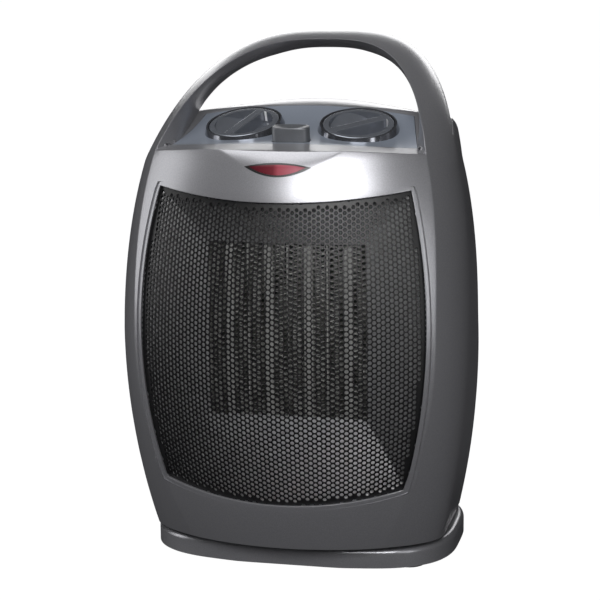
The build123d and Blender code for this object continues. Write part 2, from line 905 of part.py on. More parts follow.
switch_drop = button_skirt + button_travel + fit
arm_drop = panel_thickness + fit
with BuildPart() as oscillation_switch:
    with BuildSketch(button_frame.offset(-switch_drop)):
        RectangleRounded(button_width, button_length + 2 * well_margin, button_edge)
    extrude(amount=-switch_height)
    with BuildSketch(button_frame.offset(-arm_drop)):
        with GridLocations(button_width + switch_arm, 0, 2, 1):
            Rectangle(switch_arm_thickness, button_length - 2 * well_margin)
    extrude(amount=-(switch_drop - arm_drop + switch_bridge))
    with BuildSketch(button_frame.offset(-switch_drop)):
        Rectangle(button_width + switch_arm + switch_arm_thickness, button_length - 2 * well_margin)
    extrude(amount=-switch_bridge)
finish(oscillation_switch.part, "oscillation_switch")

# ---------------------------------------------------------------------------
# Heating core: fin packs bonded to heater bars, held between two end caps
# ---------------------------------------------------------------------------
core_back_y = core_front_y + core_thickness
fin_height = core_height + 2 * fin_overlap
core_low_z = core_z - fin_height / 2
module_width = core_width / module_count
fin_width = (module_width - bar_width - side_plate) / 2
module_xs = [(i - (module_count - 1) / 2) * module_width for i in range(module_count)]
plate_xs = [(i - module_count / 2) * module_width for i in range(module_count + 1)]

with BuildPart() as core_end_caps:
    with BuildSketch(Plane.XZ.offset(-core_back_y)):
        with Locations((0, core_low_z - cap_height / 2), (0, core_z + (fin_height + cap_height) / 2)):
            RectangleRounded(core_width + 4, cap_height, 1.5)
    extrude(amount=core_thickness)
finish(core_end_caps.part, "core_end_caps")

with BuildPart() as heater_bars:
    with BuildSketch(Plane.XY.offset(core_low_z)):
        with Locations(*[(x, core_front_y + core_thickness / 2) for x in module_xs]):
            RectangleRounded(bar_width, bar_thickness, 0.8)
    extrude(amount=fin_height)
finish(heater_bars.part, "heater_bars")

with BuildPart() as core_side_plates:
    with BuildSketch(Plane.XY.offset(core_low_z)):
        with Locations(*[(x, core_front_y + core_thickness / 2) for x in plate_xs]):
            Rectangle(side_plate, core_thickness - 1)
    extrude(amount=fin_height)
finish(core_side_plates.part, "core_side_plates")


def fin_outline(centre_x):
    """Closed zigzag strip that folds to and fro across one fin pack."""
    rise = fin_pitch / 2
    folds = int(fin_height / rise)
    half = fin_width / 2
    tuck = fin_width * fin_sheet / (rise + fin_sheet)
    near, far_side = [], []
    for i in range(folds + 1):
        z = core_low_z + i * rise
        outward = i % 2 == 1
        near.append((centre_x + (half if outward else tuck - half), z))
        far_side.append((centre_x + (half - tuck if outward else -half), z))
    return near + far_side[::-1]


pack_offset = (bar_width + fin_width) / 2
with BuildPart() as fin_packs:
    with BuildSketch(Plane.XZ.offset(-(core_back_y - 0.5))):
        for x in module_xs:
            for side in (-1, 1):
                with BuildLine():
                    Polyline(*fin_outline(x + side * pack_offset), close=True)
                make_face()
    extrude(amount=core_thickness - 1)
finish(fin_packs.part, "fin_packs")

cap_top_z = core_z + fin_height / 2 + cap_height
cap_middle_y = core_front_y + core_thickness / 2
with BuildPart() as core_terminals:
    with BuildSketch(Plane.XY.offset(cap_top_z)):
        with Locations((-core_tab_x, cap_middle_y), (core_tab_x, cap_middle_y)):
            Rectangle(tab_width, tab_thickness)
    extrude(amount=core_tab_length)
finish(core_terminals.part, "core_terminals")

with BuildPart() as thermal_cutout:
    with BuildSketch(Plane.XY.offset(cap_top_z)):
        with Locations((0, cap_middle_y)):
            Circle(core_thickness / 2 - fin_sheet)
    extrude(amount=cutout_flange)
    with BuildSketch(Plane.XY.offset(cap_top_z + cutout_flange)):
        with Locations((0, cap_middle_y)):
            Circle(cutout_cap_radius)
    extrude(amount=cutout_cap)
finish(thermal_cutout.part, "thermal_cutout")

# ---------------------------------------------------------------------------
# Fan behind the core: shroud, impeller on its shaft, motor on a spider
# ---------------------------------------------------------------------------
shroud_plate_y = fan_front_y - 3.0
ring_inner = fan_radius + fan_tip_gap
ring_outer = ring_inner + shroud_wall
fan_centre = (0, core_z)

with BuildPart() as fan_shroud:
    with BuildSketch(depth_plane(shroud_plate_y)):
        with Locations(fan_centre):
            Rectangle(shroud_width, duct_mouth_height)
            Rectangle(shroud_width - 2 * shroud_wall, duct_mouth_height - 2 * shroud_wall,
                      mode=Mode.SUBTRACT)
    extrude(amount=shroud_plate_y - core_front_y)
    with BuildSketch(depth_plane(shroud_plate_y)):
        with Locations(fan_centre):
            Rectangle(shroud_width, duct_mouth_height)
            Circle(ring_inner, mode=Mode.SUBTRACT)
    extrude(amount=shroud_wall)
    with BuildSketch(depth_plane(ring_back_y)):
        with Locations(fan_centre):
            Circle(ring_outer)
            Circle(ring_inner, mode=Mode.SUBTRACT)
    extrude(amount=ring_back_y - shroud_plate_y)
finish(fan_shroud.part, "fan_shroud")

spider_back_y = ring_back_y + spider_thickness
stator_back_y = stator_front_y + stator_thickness
leg_x = stator_width / 2 - motor_leg_inset
with BuildPart() as motor_spider:
    with BuildSketch(depth_plane(spider_back_y)):
        with Locations(fan_centre):
            Circle(ring_outer)
            Circle(ring_inner - shroud_wall, mode=Mode.SUBTRACT)
            Circle(leg_x + spider_arm_width / 2)
            Circle(leg_x - spider_arm_width / 2, mode=Mode.SUBTRACT)
            for turn in (45, 135):
                with Locations(Location((0, 0), turn)):
                    with GridLocations(ring_outer + leg_x - shroud_wall, 0, 2, 1):
                        Rectangle(ring_outer - leg_x, spider_arm_width)
    extrude(amount=spider_thickness)
    with BuildSketch(depth_plane(stator_front_y)):
        with Locations((-leg_x, core_z), (leg_x, core_z)):
            Circle(motor_leg_radius)
    extrude(amount=stator_front_y - spider_back_y)
finish(motor_spider.part, "motor_spider")

with BuildPart() as fan_motor:
    with BuildSketch(depth_plane(stator_back_y)):
        with Locations((0, core_z - stator_drop)):
            RectangleRounded(stator_width, stator_height, motor_leg_inset)
        with Locations(fan_centre):
            Circle(rotor_radius + rotor_gap, mode=Mode.SUBTRACT)
    extrude(amount=stator_thickness)
    with BuildSketch(depth_plane(stator_back_y + coil_reach)):
        with Locations((0, core_z - coil_drop)):
            RectangleRounded(coil_width, coil_height, coil_reach)
    extrude(amount=stator_thickness + 2 * coil_reach)
    for back_y, step in ((stator_front_y, 1), (stator_back_y + bridge_thickness, -1)):
        with BuildSketch(depth_plane(back_y)):
            with Locations(fan_centre):
                Rectangle(stator_width - 8, 2 * bearing_radius)
                Circle(bearing_radius)
                Circle(shaft_radius + bearing_fit, mode=Mode.SUBTRACT)
        extrude(amount=bridge_thickness)
    with BuildSketch(depth_plane(stator_front_y)):
        with Locations((-leg_x, core_z), (leg_x, core_z)):
            Circle(motor_leg_radius + bearing_fit)
    extrude(amount=bridge_thickness, mode=Mode.SUBTRACT)
finish(fan_motor.part, "fan_motor")

fan_middle_y = fan_front_y + fan_depth / 2
with BuildPart() as impeller:
    with BuildSketch(depth_plane(fan_front_y + fan_depth)):
        with Locations(fan_centre):
            Circle(fan_hub_radius)
    extrude(amount=fan_depth)
    fillet(impeller.faces().sort_by(Axis.Y)[0].edges(), 3)
    for i in range(blade_count):
        blade_sections = []
        for reach, angle in ((fan_hub_radius - 2, root_angle), (fan_radius, tip_angle)):
            lean = math.radians(angle)
            station = Plane(
                origin=(reach, fan_middle_y, core_z),
                x_dir=(0, math.cos(lean), math.sin(lean)),
                z_dir=(1, 0, 0),
            )
            chord = 0.9 * fan_depth / math.cos(lean)
            with BuildSketch(station, mode=Mode.PRIVATE) as blade_section:
                SlotOverall(chord, blade_thickness)
            blade_sections.append(blade_section.sketch.face())
        blade = loft(sections=blade_sections, mode=Mode.PRIVATE)
        add(blade.rotate(Axis((0, 0, core_z), (0, 1, 0)), i * 360 / blade_count))
    with BuildSketch(depth_plane(far)):
        with Locations(fan_centre):
            Circle(shaft_radius)
    extrude(amount=2 * far, mode=Mode.SUBTRACT)
finish(impeller.part, "impeller")

shaft_back_y = stator_back_y + bridge_thickness + 3
with BuildPart() as fan_shaft:
    with BuildSketch(depth_plane(shaft_back_y)):
        with Locations(fan_centre):
            Circle(shaft_radius)
    extrude(amount=shaft_back_y - fan_front_y)
    with BuildSketch(depth_plane(stator_back_y - fit)):
        with Locations(fan_centre):
            Circle(rotor_radius)
    extrude(amount=stator_thickness - 2 * fit)
finish(fan_shaft.part, "fan_shaft")

# ---------------------------------------------------------------------------
# Lower housing: swivel drive, cord inlet, screws
# ---------------------------------------------------------------------------
floor_top_z = housing_floor_z + wall
crank_low_z = floor_top_z + crank_lift
crank_top_z = crank_low_z + crank_thickness
drive_low_z = floor_top_z + drive_motor_lift
drive_ear_x = drive_motor_radius + drive_ear_radius + 1.0

with BuildPart() as drive_motor:
    with BuildSketch(Plane.XY.offset(drive_low_z)):
        with Locations((0, crank_y)):
            Circle(drive_motor_radius)
    extrude(amount=drive_motor_height)
    with BuildSketch(Plane.XY.offset(drive_low_z)):
        with Locations((0, crank_y)):
            SlotCenterToCenter(2 * drive_ear_x, 2 * drive_ear_radius)
    extrude(amount=drive_ear_thickness)
    with BuildSketch(Plane.XY.offset(floor_top_z)):
        with Locations((-drive_ear_x, crank_y), (drive_ear_x, crank_y)):
            Circle(drive_ear_radius - 0.5)
    extrude(amount=drive_motor_lift)
    with BuildSketch(Plane.XY.offset(drive_low_z)):
        with Locations((0, crank_y)):
            Circle(drive_shaft_radius + bearing_fit)
    extrude(amount=drive_motor_height / 2, mode=Mode.SUBTRACT)
finish(drive_motor.part, "drive_motor")

pin_low_z = base_top_z - base_wall - 0.6
with BuildPart() as drive_crank:
    with BuildSketch(Plane.XY.offset(crank_low_z)):
        with Locations((0, crank_y - crank_radius / 2)):
            SlotCenterToCenter(crank_radius, 2 * (crank_pin_radius + 2), rotation=90)
        with Locations((0, crank_y)):
            Circle(drive_shaft_radius + 2.5)
    extrude(amount=crank_thickness)
    with BuildSketch(Plane.XY.offset(pin_low_z)):
        with Locations((0, crank_y - crank_radius)):
            Circle(crank_pin_radius)
    extrude(amount=crank_low_z - pin_low_z)
    with BuildSketch(Plane.XY.offset(crank_top_z)):
        with Locations((0, crank_y)):
            Circle(drive_shaft_radius)
    extrude(amount=drive_low_z + drive_motor_height / 2 - fit - crank_top_z)
finish(drive_crank.part, "drive_crank")

gland_back_y = math.sqrt(back_plan_radius**2 - gland_x**2) + back_axis_y
with BuildPart() as cord_gland:
    with BuildSketch(depth_plane(gland_back_y)):
        with Locations((gland_x, gland_z)):
            Circle(gland_radius - 0.1)
    extrude(amount=gland_back_y - (back_apex_y - 2 * gland_radius - 2 * wall))
    with BuildSketch(depth_plane(gland_back_y + 2)):
        with Locations((gland_x, gland_z)):
            Circle(gland_bore_radius)
    extrude(amount=far, mode=Mode.SUBTRACT)
finish(cord_gland.part, "cord_gland")

with BuildPart() as housing_screws:
    with BuildSketch(depth_plane(screw_head_y)):
        with Locations(*boss_centres):
            Circle(screw_radius)
    extrude(amount=screw_length)
    with BuildSketch(depth_plane(screw_head_y + screw_head)):
        with Locations(*boss_centres):
            Circle(screw_head_radius)
    extrude(amount=screw_head)
finish(housing_screws.part, "housing_screws")

# ---------------------------------------------------------------------------
# Foot: shell, cover, rubber pads, swivel post with its retainer
# ---------------------------------------------------------------------------


def foot_outline(plane, inset):
    """Superellipse plan of the foot, drawn in by a margin."""
    half_x = base_half_width - inset
    half_y = base_half_depth - inset
    points = []
    for i in range(1, 6):
        angle = i * math.pi / 12
        points.append(
            (
                half_x * math.cos(angle) ** (2 / base_exponent),
                half_y * math.sin(angle) ** (2 / base_exponent),
            )
        )
    quarter = [(half_x, 0), *points, (0, half_y)]
    with BuildSketch(plane) as sketch:
        with BuildLine():
            curve = Spline(*quarter, tangents=[(0, 1), (-1, 0)])
            mirror(curve, about=Plane.YZ)
            other = mirror(curve, about=Plane.XZ)
            mirror(other, about=Plane.YZ)
        make_face()
    return sketch.sketch


def foot_plane(z):
    return Plane(origin=(0, swivel_y, z), x_dir=(1, 0, 0), z_dir=(0, 0, 1))


cover_low_z = pad_height
cover_top_z = cover_low_z + base_cover_thickness
base_edge_radius = 3.0
slot_inner = crank_distance * math.cos(math.radians(swivel_limit)) - 6.0
slot_outer = crank_distance + crank_radius + crank_pin_radius + 1.5
slot_width = 9.8
base_post_top_z = floor_top_z + fit
glide_places = [(x, swivel_y + y) for x in (-glide_reach, glide_reach) for y in (-18, 18)]
pad_places = [(x, swivel_y + y) for x in (-pad_x, pad_x) for y in (-pad_y, pad_y)]
screw_post_radius = 4.0
screw_places = [(x, swivel_y + y) for x in (-40.0, 40.0) for y in (-34.0, 34.0)]

with BuildPart() as base_shell:
    add(foot_outline(foot_plane(skirt_z), 0))
    extrude(amount=base_top_z - base_edge_radius - skirt_z)
    for turn in (0, 30, 60, 90):
        rise = base_edge_radius * math.sin(math.radians(turn))
        inset = base_edge_radius * (1 - math.cos(math.radians(turn)))
        add(foot_outline(foot_plane(base_top_z - base_edge_radius + rise), inset))
    loft()
    add(foot_outline(foot_plane(skirt_z), base_wall))
    extrude(amount=base_top_z - base_wall - skirt_z, mode=Mode.SUBTRACT)
    with BuildSketch(Plane.XY.offset(cover_top_z)):
        with Locations(*screw_places):
            Circle(screw_post_radius)
    extrude(amount=base_top_z - base_wall - cover_top_z)
    with BuildSketch(Plane.XY.offset(base_top_z - base_wall)):
        with Locations((0, swivel_y)):
            Circle(post_radius)
    extrude(amount=base_post_top_z - base_top_z + base_wall)
    with BuildSketch(Plane.XY.offset(base_top_z)):
        with Locations((0, swivel_y - (slot_inner + slot_outer) / 2)):
            Rectangle(slot_width, slot_outer - slot_inner)
    extrude(amount=-base_wall, mode=Mode.SUBTRACT)
    with BuildSketch(Plane.XY.offset(cover_top_z)):
        with Locations(*screw_places):
            Circle(1.5)
    extrude(amount=5, mode=Mode.SUBTRACT)
    with BuildSketch(Plane.XY.offset(base_post_top_z)):
        with Locations((0, swivel_y)):
            Circle(1.5)
    extrude(amount=-6, mode=Mode.SUBTRACT)
finish(base_shell.part, "base_shell")

with BuildPart() as base_cover:
    add(foot_outline(foot_plane(cover_low_z), base_wall + fit))
    extrude(amount=base_cover_thickness)
    with BuildSketch(Plane.XY.offset(cover_low_z)):
        with Locations(*screw_places):
            Circle(1.7)
    extrude(amount=base_cover_thickness, mode=Mode.SUBTRACT)
finish(base_cover.part, "base_cover")

with BuildPart() as rubber_feet:
    with BuildSketch(Plane.XY):
        with Locations(*pad_places):
            Circle(pad_radius)
    extrude(amount=pad_height)
finish(rubber_feet.part, "rubber_feet")

with BuildPart() as base_screws:
    with BuildSketch(Plane.XY.offset(cover_low_z - 1.2)):
        with Locations(*screw_places):
            Circle(3)
    extrude(amount=1.2)
    with BuildSketch(Plane.XY.offset(cover_low_z)):
        with Locations(*screw_places):
            Circle(1.45)
    extrude(amount=6)
finish(base_screws.part, "base_screws")

with BuildPart() as glide_pads:
    with BuildSketch(Plane.XY.offset(base_top_z)):
        with Locations(*glide_places):
            Circle(glide_radius)
    extrude(amount=housing_floor_z - fit - base_top_z)
finish(glide_pads.part, "glide_pads")

with BuildPart() as swivel_retainer:
    with BuildSketch(Plane.XY.offset(base_post_top_z)):
        with Locations((0, swivel_y)):
            Circle(retainer_radius)
            Circle(1.7, mode=Mode.SUBTRACT)
    extrude(amount=retainer_thickness)
finish(swivel_retainer.part, "swivel_retainer")

retainer_top_z = base_post_top_z + retainer_thickness
with BuildPart() as swivel_screw:
    with BuildSketch(Plane.XY.offset(base_post_top_z - 5)):
        with Locations((0, swivel_y)):
            Circle(1.45)
    extrude(amount=retainer_top_z - base_post_top_z + 5)
    with BuildSketch(Plane.XY.offset(retainer_top_z)):
        with Locations((0, swivel_y)):
            Circle(3)
    extrude(amount=1.6)
finish(swivel_screw.part, "swivel_screw")
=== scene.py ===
import json
import math

import bmesh
import bpy
import numpy as np
from mathutils import Matrix, Vector


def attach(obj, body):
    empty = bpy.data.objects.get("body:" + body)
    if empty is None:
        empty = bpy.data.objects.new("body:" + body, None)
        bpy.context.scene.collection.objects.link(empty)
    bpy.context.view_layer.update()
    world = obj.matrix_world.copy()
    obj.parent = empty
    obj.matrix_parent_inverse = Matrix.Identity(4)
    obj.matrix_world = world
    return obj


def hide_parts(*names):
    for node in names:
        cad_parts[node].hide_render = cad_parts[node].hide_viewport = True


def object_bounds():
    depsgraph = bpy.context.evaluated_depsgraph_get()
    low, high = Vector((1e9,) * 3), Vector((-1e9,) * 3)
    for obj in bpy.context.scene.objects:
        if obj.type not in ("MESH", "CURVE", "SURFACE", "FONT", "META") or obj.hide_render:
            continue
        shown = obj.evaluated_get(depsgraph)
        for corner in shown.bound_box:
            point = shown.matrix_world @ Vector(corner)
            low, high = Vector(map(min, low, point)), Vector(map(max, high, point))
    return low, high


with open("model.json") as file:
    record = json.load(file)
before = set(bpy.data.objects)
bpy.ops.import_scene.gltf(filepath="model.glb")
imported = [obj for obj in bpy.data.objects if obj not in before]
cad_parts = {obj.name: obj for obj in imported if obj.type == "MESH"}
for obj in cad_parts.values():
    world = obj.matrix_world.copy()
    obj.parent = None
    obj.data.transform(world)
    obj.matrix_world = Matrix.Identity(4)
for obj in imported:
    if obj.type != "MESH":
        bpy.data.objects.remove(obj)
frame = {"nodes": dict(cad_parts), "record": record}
cad_low, cad_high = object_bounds()

# ---------------------------------------------------------------------------
# Stand and light.  A pale sweep of paper under and behind the heater, softboxes
# before, above and behind it, and two lit cards at its sides.
# ---------------------------------------------------------------------------


def linear(code):
    """Linear RGBA of an sRGB hex colour: c becomes ((c + 0.055) / 1.055) ** 2.4, or c / 12.92 near black."""
    channels = [int(code[i:i + 2], 16) / 255 for i in (1, 3, 5)]
    curved = [c / 12.92 if c <= 0.04045 else ((c + 0.055) / 1.055) ** 2.4 for c in channels]
    return (*curved, 1.0)


def add_node(tree, kind, inputs=None, **settings):
    """Add a node; inputs maps socket names to values or to the sockets that feed them."""
    node = tree.nodes.new(kind)
    for name, value in settings.items():
        setattr(node, name, value)
    for name, value in (inputs or {}).items():
        if isinstance(value, bpy.types.NodeSocket):
            tree.links.new(value, node.inputs[name])
        else:
            node.inputs[name].default_value = value
    return node


def new_material(name):
    """A material with an empty node tree."""
    material = bpy.data.materials.new(name)
    material.use_nodes = True
    material.node_tree.nodes.clear()
    return material, material.node_tree


def link(name, data):
    """Object of a mesh, lamp or camera, in the scene."""
    made = bpy.data.objects.new(name, data)
    bpy.context.scene.collection.objects.link(made)
    return made


def grid_mesh(name, grids):
    """Smooth mesh of grids of points (rows, columns, 3) in metres, one quad to each cell."""
    points, faces, start = [], [], 0
    for grid in grids:
        rows, columns = grid.shape[:2]
        index = start + np.arange(rows * columns).reshape(rows, columns)
        corners = (index[:-1, :-1], index[:-1, 1:], index[1:, 1:], index[1:, :-1])
        faces.append(np.stack(corners, -1).reshape(-1, 4))
        points.append(grid.reshape(-1, 3))
        start += rows * columns
    mesh = bpy.data.meshes.new(name)
    mesh.from_pydata(np.concatenate(points).tolist(), [], np.concatenate(faces).tolist())
    mesh.polygons.foreach_set("use_smooth", np.ones(len(mesh.polygons), bool))
    mesh.update()
    return mesh


# Paper: grey as the heater sees it, glowing white as the camera sees it
paper_white, paper_grey = "#ffffff", "#464648"
paper, tree = new_material("matt_white_paper")
ray = add_node(tree, "ShaderNodeLightPath")
matt = add_node(tree, "ShaderNodeBsdfDiffuse", {"Color": linear(paper_grey)})
glow = add_node(tree, "ShaderNodeEmission", {"Color": linear(paper_white), "Strength": 1.0})
bright = add_node(tree, "ShaderNodeAddShader", {0: matt.outputs[0], 1: glow.outputs[0]})
mixed = add_node(tree, "ShaderNodeMixShader", {0: ray.outputs["Is Camera Ray"], 1: matt.outputs[0],
                                               2: bright.outputs[0]})
add_node(tree, "ShaderNodeOutputMaterial", {"Surface": mixed.outputs[0]})

# The sweep: flat floor, a quarter turn, then upright
sweep_radius, sweep_half, sweep_top = 0.35, 2.4, 2.6
floor_front, floor_back = -2.2, 1.2
flat = np.linspace(floor_front, floor_back, 24)
turn = np.linspace(0, math.pi / 2, 13)[1:]
profile_y = np.concatenate([flat, floor_back + sweep_radius * np.sin(turn), [floor_back + sweep_radius]])
profile_z = np.concatenate([0 * flat, sweep_radius * (1 - np.cos(turn)), [sweep_top]])
grid_x, grid_y = np.meshgrid(np.linspace(-sweep_half, sweep_half, 9), profile_y)
sweep_points = np.stack(np.broadcast_arrays(grid_x, grid_y, profile_z[:, None]), -1)
sweep = link("paper_sweep", grid_mesh("paper_sweep", [sweep_points]))
sweep.data.materials.append(paper)

# Surroundings: dim below, brighter above
world = bpy.data.worlds.new("studio")
world.use_nodes = True
sky = world.node_tree
aimed = add_node(sky, "ShaderNodeTexCoord")
height = add_node(sky, "ShaderNodeSeparateXYZ", {0: aimed.outputs["Generated"]})
fade = add_node(sky, "ShaderNodeMapRange", {"Value": height.outputs[2], "From Min": -0.25,
                                            "From Max": 0.8, "To Min": 0.16, "To Max": 0.62})
sky.links.new(fade.outputs[0], sky.nodes["Background"].inputs["Strength"])
bpy.context.scene.world = world


def add_lamp(name, place, aim, width, height, power):
    """Rectangular soft lamp at a place, turned towards a point."""
    lamp = bpy.data.lights.new(name, "AREA")
    lamp.shape, lamp.size, lamp.size_y, lamp.energy = "RECTANGLE", width, height, power
    made = link(name, lamp)
    made.location = place
    back = np.array(place) - np.array(aim)
    made.rotation_euler = (math.atan2(math.hypot(back[0], back[1]), back[2]), 0,
                           math.atan2(back[0], -back[1]))


middle = (0.0, 0.0, 0.13)
add_lamp("front_softbox", (0.26, -1.20, 0.80), (0.0, -0.06, 0.18), 0.9, 0.5, 15.5)
add_lamp("top_softbox", (-0.25, -0.30, 1.10), (0.0, 0.0, 0.15), 0.8, 0.6, 6.0)
add_lamp("back_softbox", (-0.15, 1.10, 0.50), (0.0, 0.0, 0.22), 1.0, 0.35, 3.2)
add_lamp("left_card", (-1.15, -0.25, 0.35), middle, 0.5, 0.9, 3.5)
add_lamp("right_card", (0.95, -0.78, 0.10), middle, 0.22, 0.9, 2.6)

# Camera: right of the middle, a little above it, with a long lens
view_turn, view_rise, view_roll = (math.radians(angle) for angle in (13.35, 10.8, -0.53))
view_range = 0.922
aim = np.array([-0.0057, 0.0080, 0.1224])
camera_data = bpy.data.cameras.new("camera")
camera_data.lens, camera_data.sensor_width = 109.86, 36.0
camera = link("camera", camera_data)
outward = np.array([math.sin(view_turn) * math.cos(view_rise),
                    -math.cos(view_turn) * math.cos(view_rise), math.sin(view_rise)])
camera.location = aim + view_range * outward
camera.rotation_mode = "XYZ"
facing = Vector(-outward).to_track_quat("-Z", "Y").to_matrix()
camera.rotation_euler = (facing @ Matrix.Rotation(view_roll, 3, "Z")).to_euler()
bpy.context.scene.camera = camera
bpy.context.scene.view_settings.view_transform = "Standard"

# ---------------------------------------------------------------------------
# Front housing.  A thin moulding in ABS, sprayed with a metallic grey lacquer.
# It holds the face, the sides, the deck and the whole hoop of the handle.
# ---------------------------------------------------------------------------
# All lengths of the housing are in millimetres.
housing_wall = 2.3
parting_y = 24.0
floor_z, widest_z, crown_z = 13.6, 115.0, 256.2
front_apex_y = cad_low[1] * 1000 - 1.5
back_apex_y = cad_high[1] * 1000

# Half outlines: half width, foot's half width and power, crown height, side power, rise power
front_edge_form = (73.2, 47.0, 2.0, 251.3, 2.9, 2.9)
belly_form = (85.4, 72.6, 1.9, crown_z, 3.1, 2.33)
foot_half = front_edge_form[1]

# Face and back: arcs in height, turned about upright axes
face_radius, face_bend, face_bulge_z = 133.0, 265.0, 108.0
back_radius, back_bend, back_bulge_z = 125.0, 1300.0, 170.0
face_axis_y = front_apex_y + face_radius
back_axis_y = back_apex_y - back_radius

# Leading edge of the handle: an arc from the fold up and back
fold_y, fold_z, fold_lean = -38.0, 201.0, math.radians(45.8)
lead_bend = 205.0
lead_axis_y = fold_y + lead_bend * math.sin(fold_lean)
lead_axis_z = fold_z - lead_bend * math.cos(fold_lean)


def face_plan(z):
    """Plan radius of the face at a height: face_radius less the sag of the arc of face_bend."""
    return face_radius - (face_bend - np.sqrt(face_bend**2 - (z - face_bulge_z) ** 2))


def face_y(x, z):
    """Face: the plan radius turned about an upright axis."""
    return face_axis_y - np.sqrt(face_plan(z) ** 2 - x**2)


def back_y(x, z):
    """Back: the sag of an arc in height, turned about an upright axis."""
    plan = back_radius - (back_bend - np.sqrt(back_bend**2 - (z - back_bulge_z) ** 2))
    return back_axis_y + np.sqrt(plan**2 - x**2)


def edge_y(z, x):
    """Front edge: on the face up to the fold, then along the handle's arc."""
    swept = lead_axis_y - np.sqrt(np.maximum(lead_bend**2 - (z - lead_axis_z) ** 2, 0))
    return np.where(z <= fold_z, face_y(x, np.minimum(z, fold_z)), swept)


def outline(w, form):
    """Half outline: w 0 to 1 is a power curve from the floor up, 1 to 2 a superellipse quarter."""
    half, foot, foot_power, crown, side_power, rise_power = form
    drop = np.clip(1 - w, 0, 1)
    angle = np.clip(w - 1, 0, 1) * math.pi / 2
    arch = half * np.maximum(np.cos(angle), 0) ** (2 / side_power)
    x = np.where(w < 1, half - (half - foot) * drop**foot_power, arch)
    rise = (crown - widest_z) * np.sin(angle) ** (2 / rise_power)
    return np.where(w >= 2, 0.0, x), widest_z + np.where(w < 1, drop * (floor_z - widest_z), rise)


def front_edge(w):
    """Front edge of the housing in the front view."""
    return outline(w, front_edge_form)


def even_steps(curve, start, end, count):
    """Parameters from start to end that lie evenly along a curve of (x, z)."""
    w = np.linspace(start, end, 4001)
    x, z = curve(w)
    run = np.concatenate([[0], np.cumsum(np.hypot(np.diff(x), np.diff(z)))])
    return np.interp(np.linspace(0, run[-1], count), run, w)


def eased(share):
    """Parabola from 0 to 1 that arrives level."""
    share = np.clip(share, 0, 1)
    return 2 * share - share**2


# Side band: depth of the flare, then an ellipse that draws in from a depth set by the height
flare_depth, draw_in_depth = 25.9, 141.9
draw_in_z, draw_in_y = (13.6, 115.0, 201.0, 251.3), (17.3, -13.9, -19.2, 28.3)
crown_fall_y, crown_fall_run, crown_fall = 5.0, 68.5, 1.8


def band(w, y):
    """Side band: the outline eases from the front edge to the belly, narrows and falls to the back.

    Narrowing: sqrt(1 - ((y - start) / draw_in_depth)^2).  Fall: crown_fall ((y - y0) / run)^3.
    """
    ex, ez = front_edge(w)
    bx, bz = outline(w, belly_form)
    ease = eased((y - edge_y(ez, ex)) / flare_depth)
    start = np.interp(ez, draw_in_z, draw_in_y)
    narrow = np.sqrt(1 - (np.maximum(y - start, 0) / draw_in_depth) ** 2)
    past = np.clip((y - crown_fall_y) / crown_fall_run, 0, None)
    rise = ez + (bz - ez) * ease
    share_up = np.clip((rise - widest_z) / (crown_z - widest_z), 0, None)
    return (ex + (bx - ex) * ease) * narrow, rise - share_up * crown_fall * past**3


# Deck: a ramp up to deck_front_y, a dish up to crest_y, then a fall up to deck_end_y
deck_front_y, deck_front_z, deck_ramp = -39.0, 206.2, 0.05
crest_y, deck_end_y = 10.0, 80.0
dish_bend = 112.0
dish_y = deck_front_y - dish_bend * math.sin(math.atan(deck_ramp))
dish_z = deck_front_z + dish_bend * math.cos(math.atan(deck_ramp))
crest_z = dish_z - math.sqrt(dish_bend**2 - (crest_y - dish_y) ** 2)
deck_camber = 0.0010
deck_half = 100.0
middle_slope, middle_end_z = 0.25, 190.0
side_drop, side_slope, side_end_z = 10.0, -0.6, 145.0


def falling_arc(y, start_z, slope, end_z):
    """Height of the arc that leaves (crest_y, start_z) with a slope and ends at (deck_end_y, end_z)."""
    way = np.array([deck_end_y - crest_y, end_z - start_z])
    down = np.array([slope, -1.0]) / math.hypot(slope, 1.0)
    bend = (way @ way) / (2 * way @ down)
    return start_z + bend * down[1] + np.sqrt(bend**2 - (y - crest_y - bend * down[0]) ** 2)


def deck(x, y):
    """Top deck: a gentle ramp, a hollow of dish_bend, then a round fall to the back and sides."""
    ramp = deck_front_z + deck_ramp * (y - deck_front_y)
    dish = dish_z - np.sqrt(dish_bend**2 - (np.clip(y, deck_front_y, crest_y) - dish_y) ** 2)
    behind = np.clip(y, crest_y, deck_end_y)
    middle_z = falling_arc(behind, crest_z, middle_slope, middle_end_z)
    side_z = falling_arc(behind, crest_z - side_drop, side_slope, side_end_z)
    front = np.where(y <= deck_front_y, ramp, dish) - deck_camber * x**2
    return np.where(y <= crest_y, front, middle_z - (middle_z - side_z) * (x / deck_half) ** 2)


# Rear face of the handle: a point of it in the side view, and its lean
rear_foot_y, rear_foot_z, rear_run, rear_rise = 2.0, 212.0, 58.0, 38.0


def rear_plane(z):
    """Depth of the handle's rear face, a plane that leans back."""
    return rear_foot_y + (z - rear_foot_z) * rear_run / rear_rise


def settle(rule, start, rounds=90):
    """Value that a rule gives back unchanged, by repeated use."""
    for _ in range(rounds):
        start = rule(start)
    return start


def halve(below, low, high, rounds=44):
    """Value between low and high where below turns false."""
    for _ in range(rounds):
        halfway = (low + high) / 2
        under = below(halfway)
        low, high = np.where(under, halfway, low), np.where(under, high, halfway)
    return (low + high) / 2


def under_deck(w, y):
    """True where the band at w and y lies below the deck."""
    x, z = band(w, y)
    return z < deck(x, y)


# Where the front edge comes up through the deck
search = np.linspace(1.2, 1.9, 20001)
search_x, search_z = front_edge(search)
fold_w = float(search[np.argmax(search_z > deck(search_x, edge_y(search_z, search_x)))])
fold_edge_x, fold_edge_z = (float(v) for v in front_edge(np.array(fold_w)))
fold_edge_y = float(edge_y(fold_edge_z, fold_edge_x))


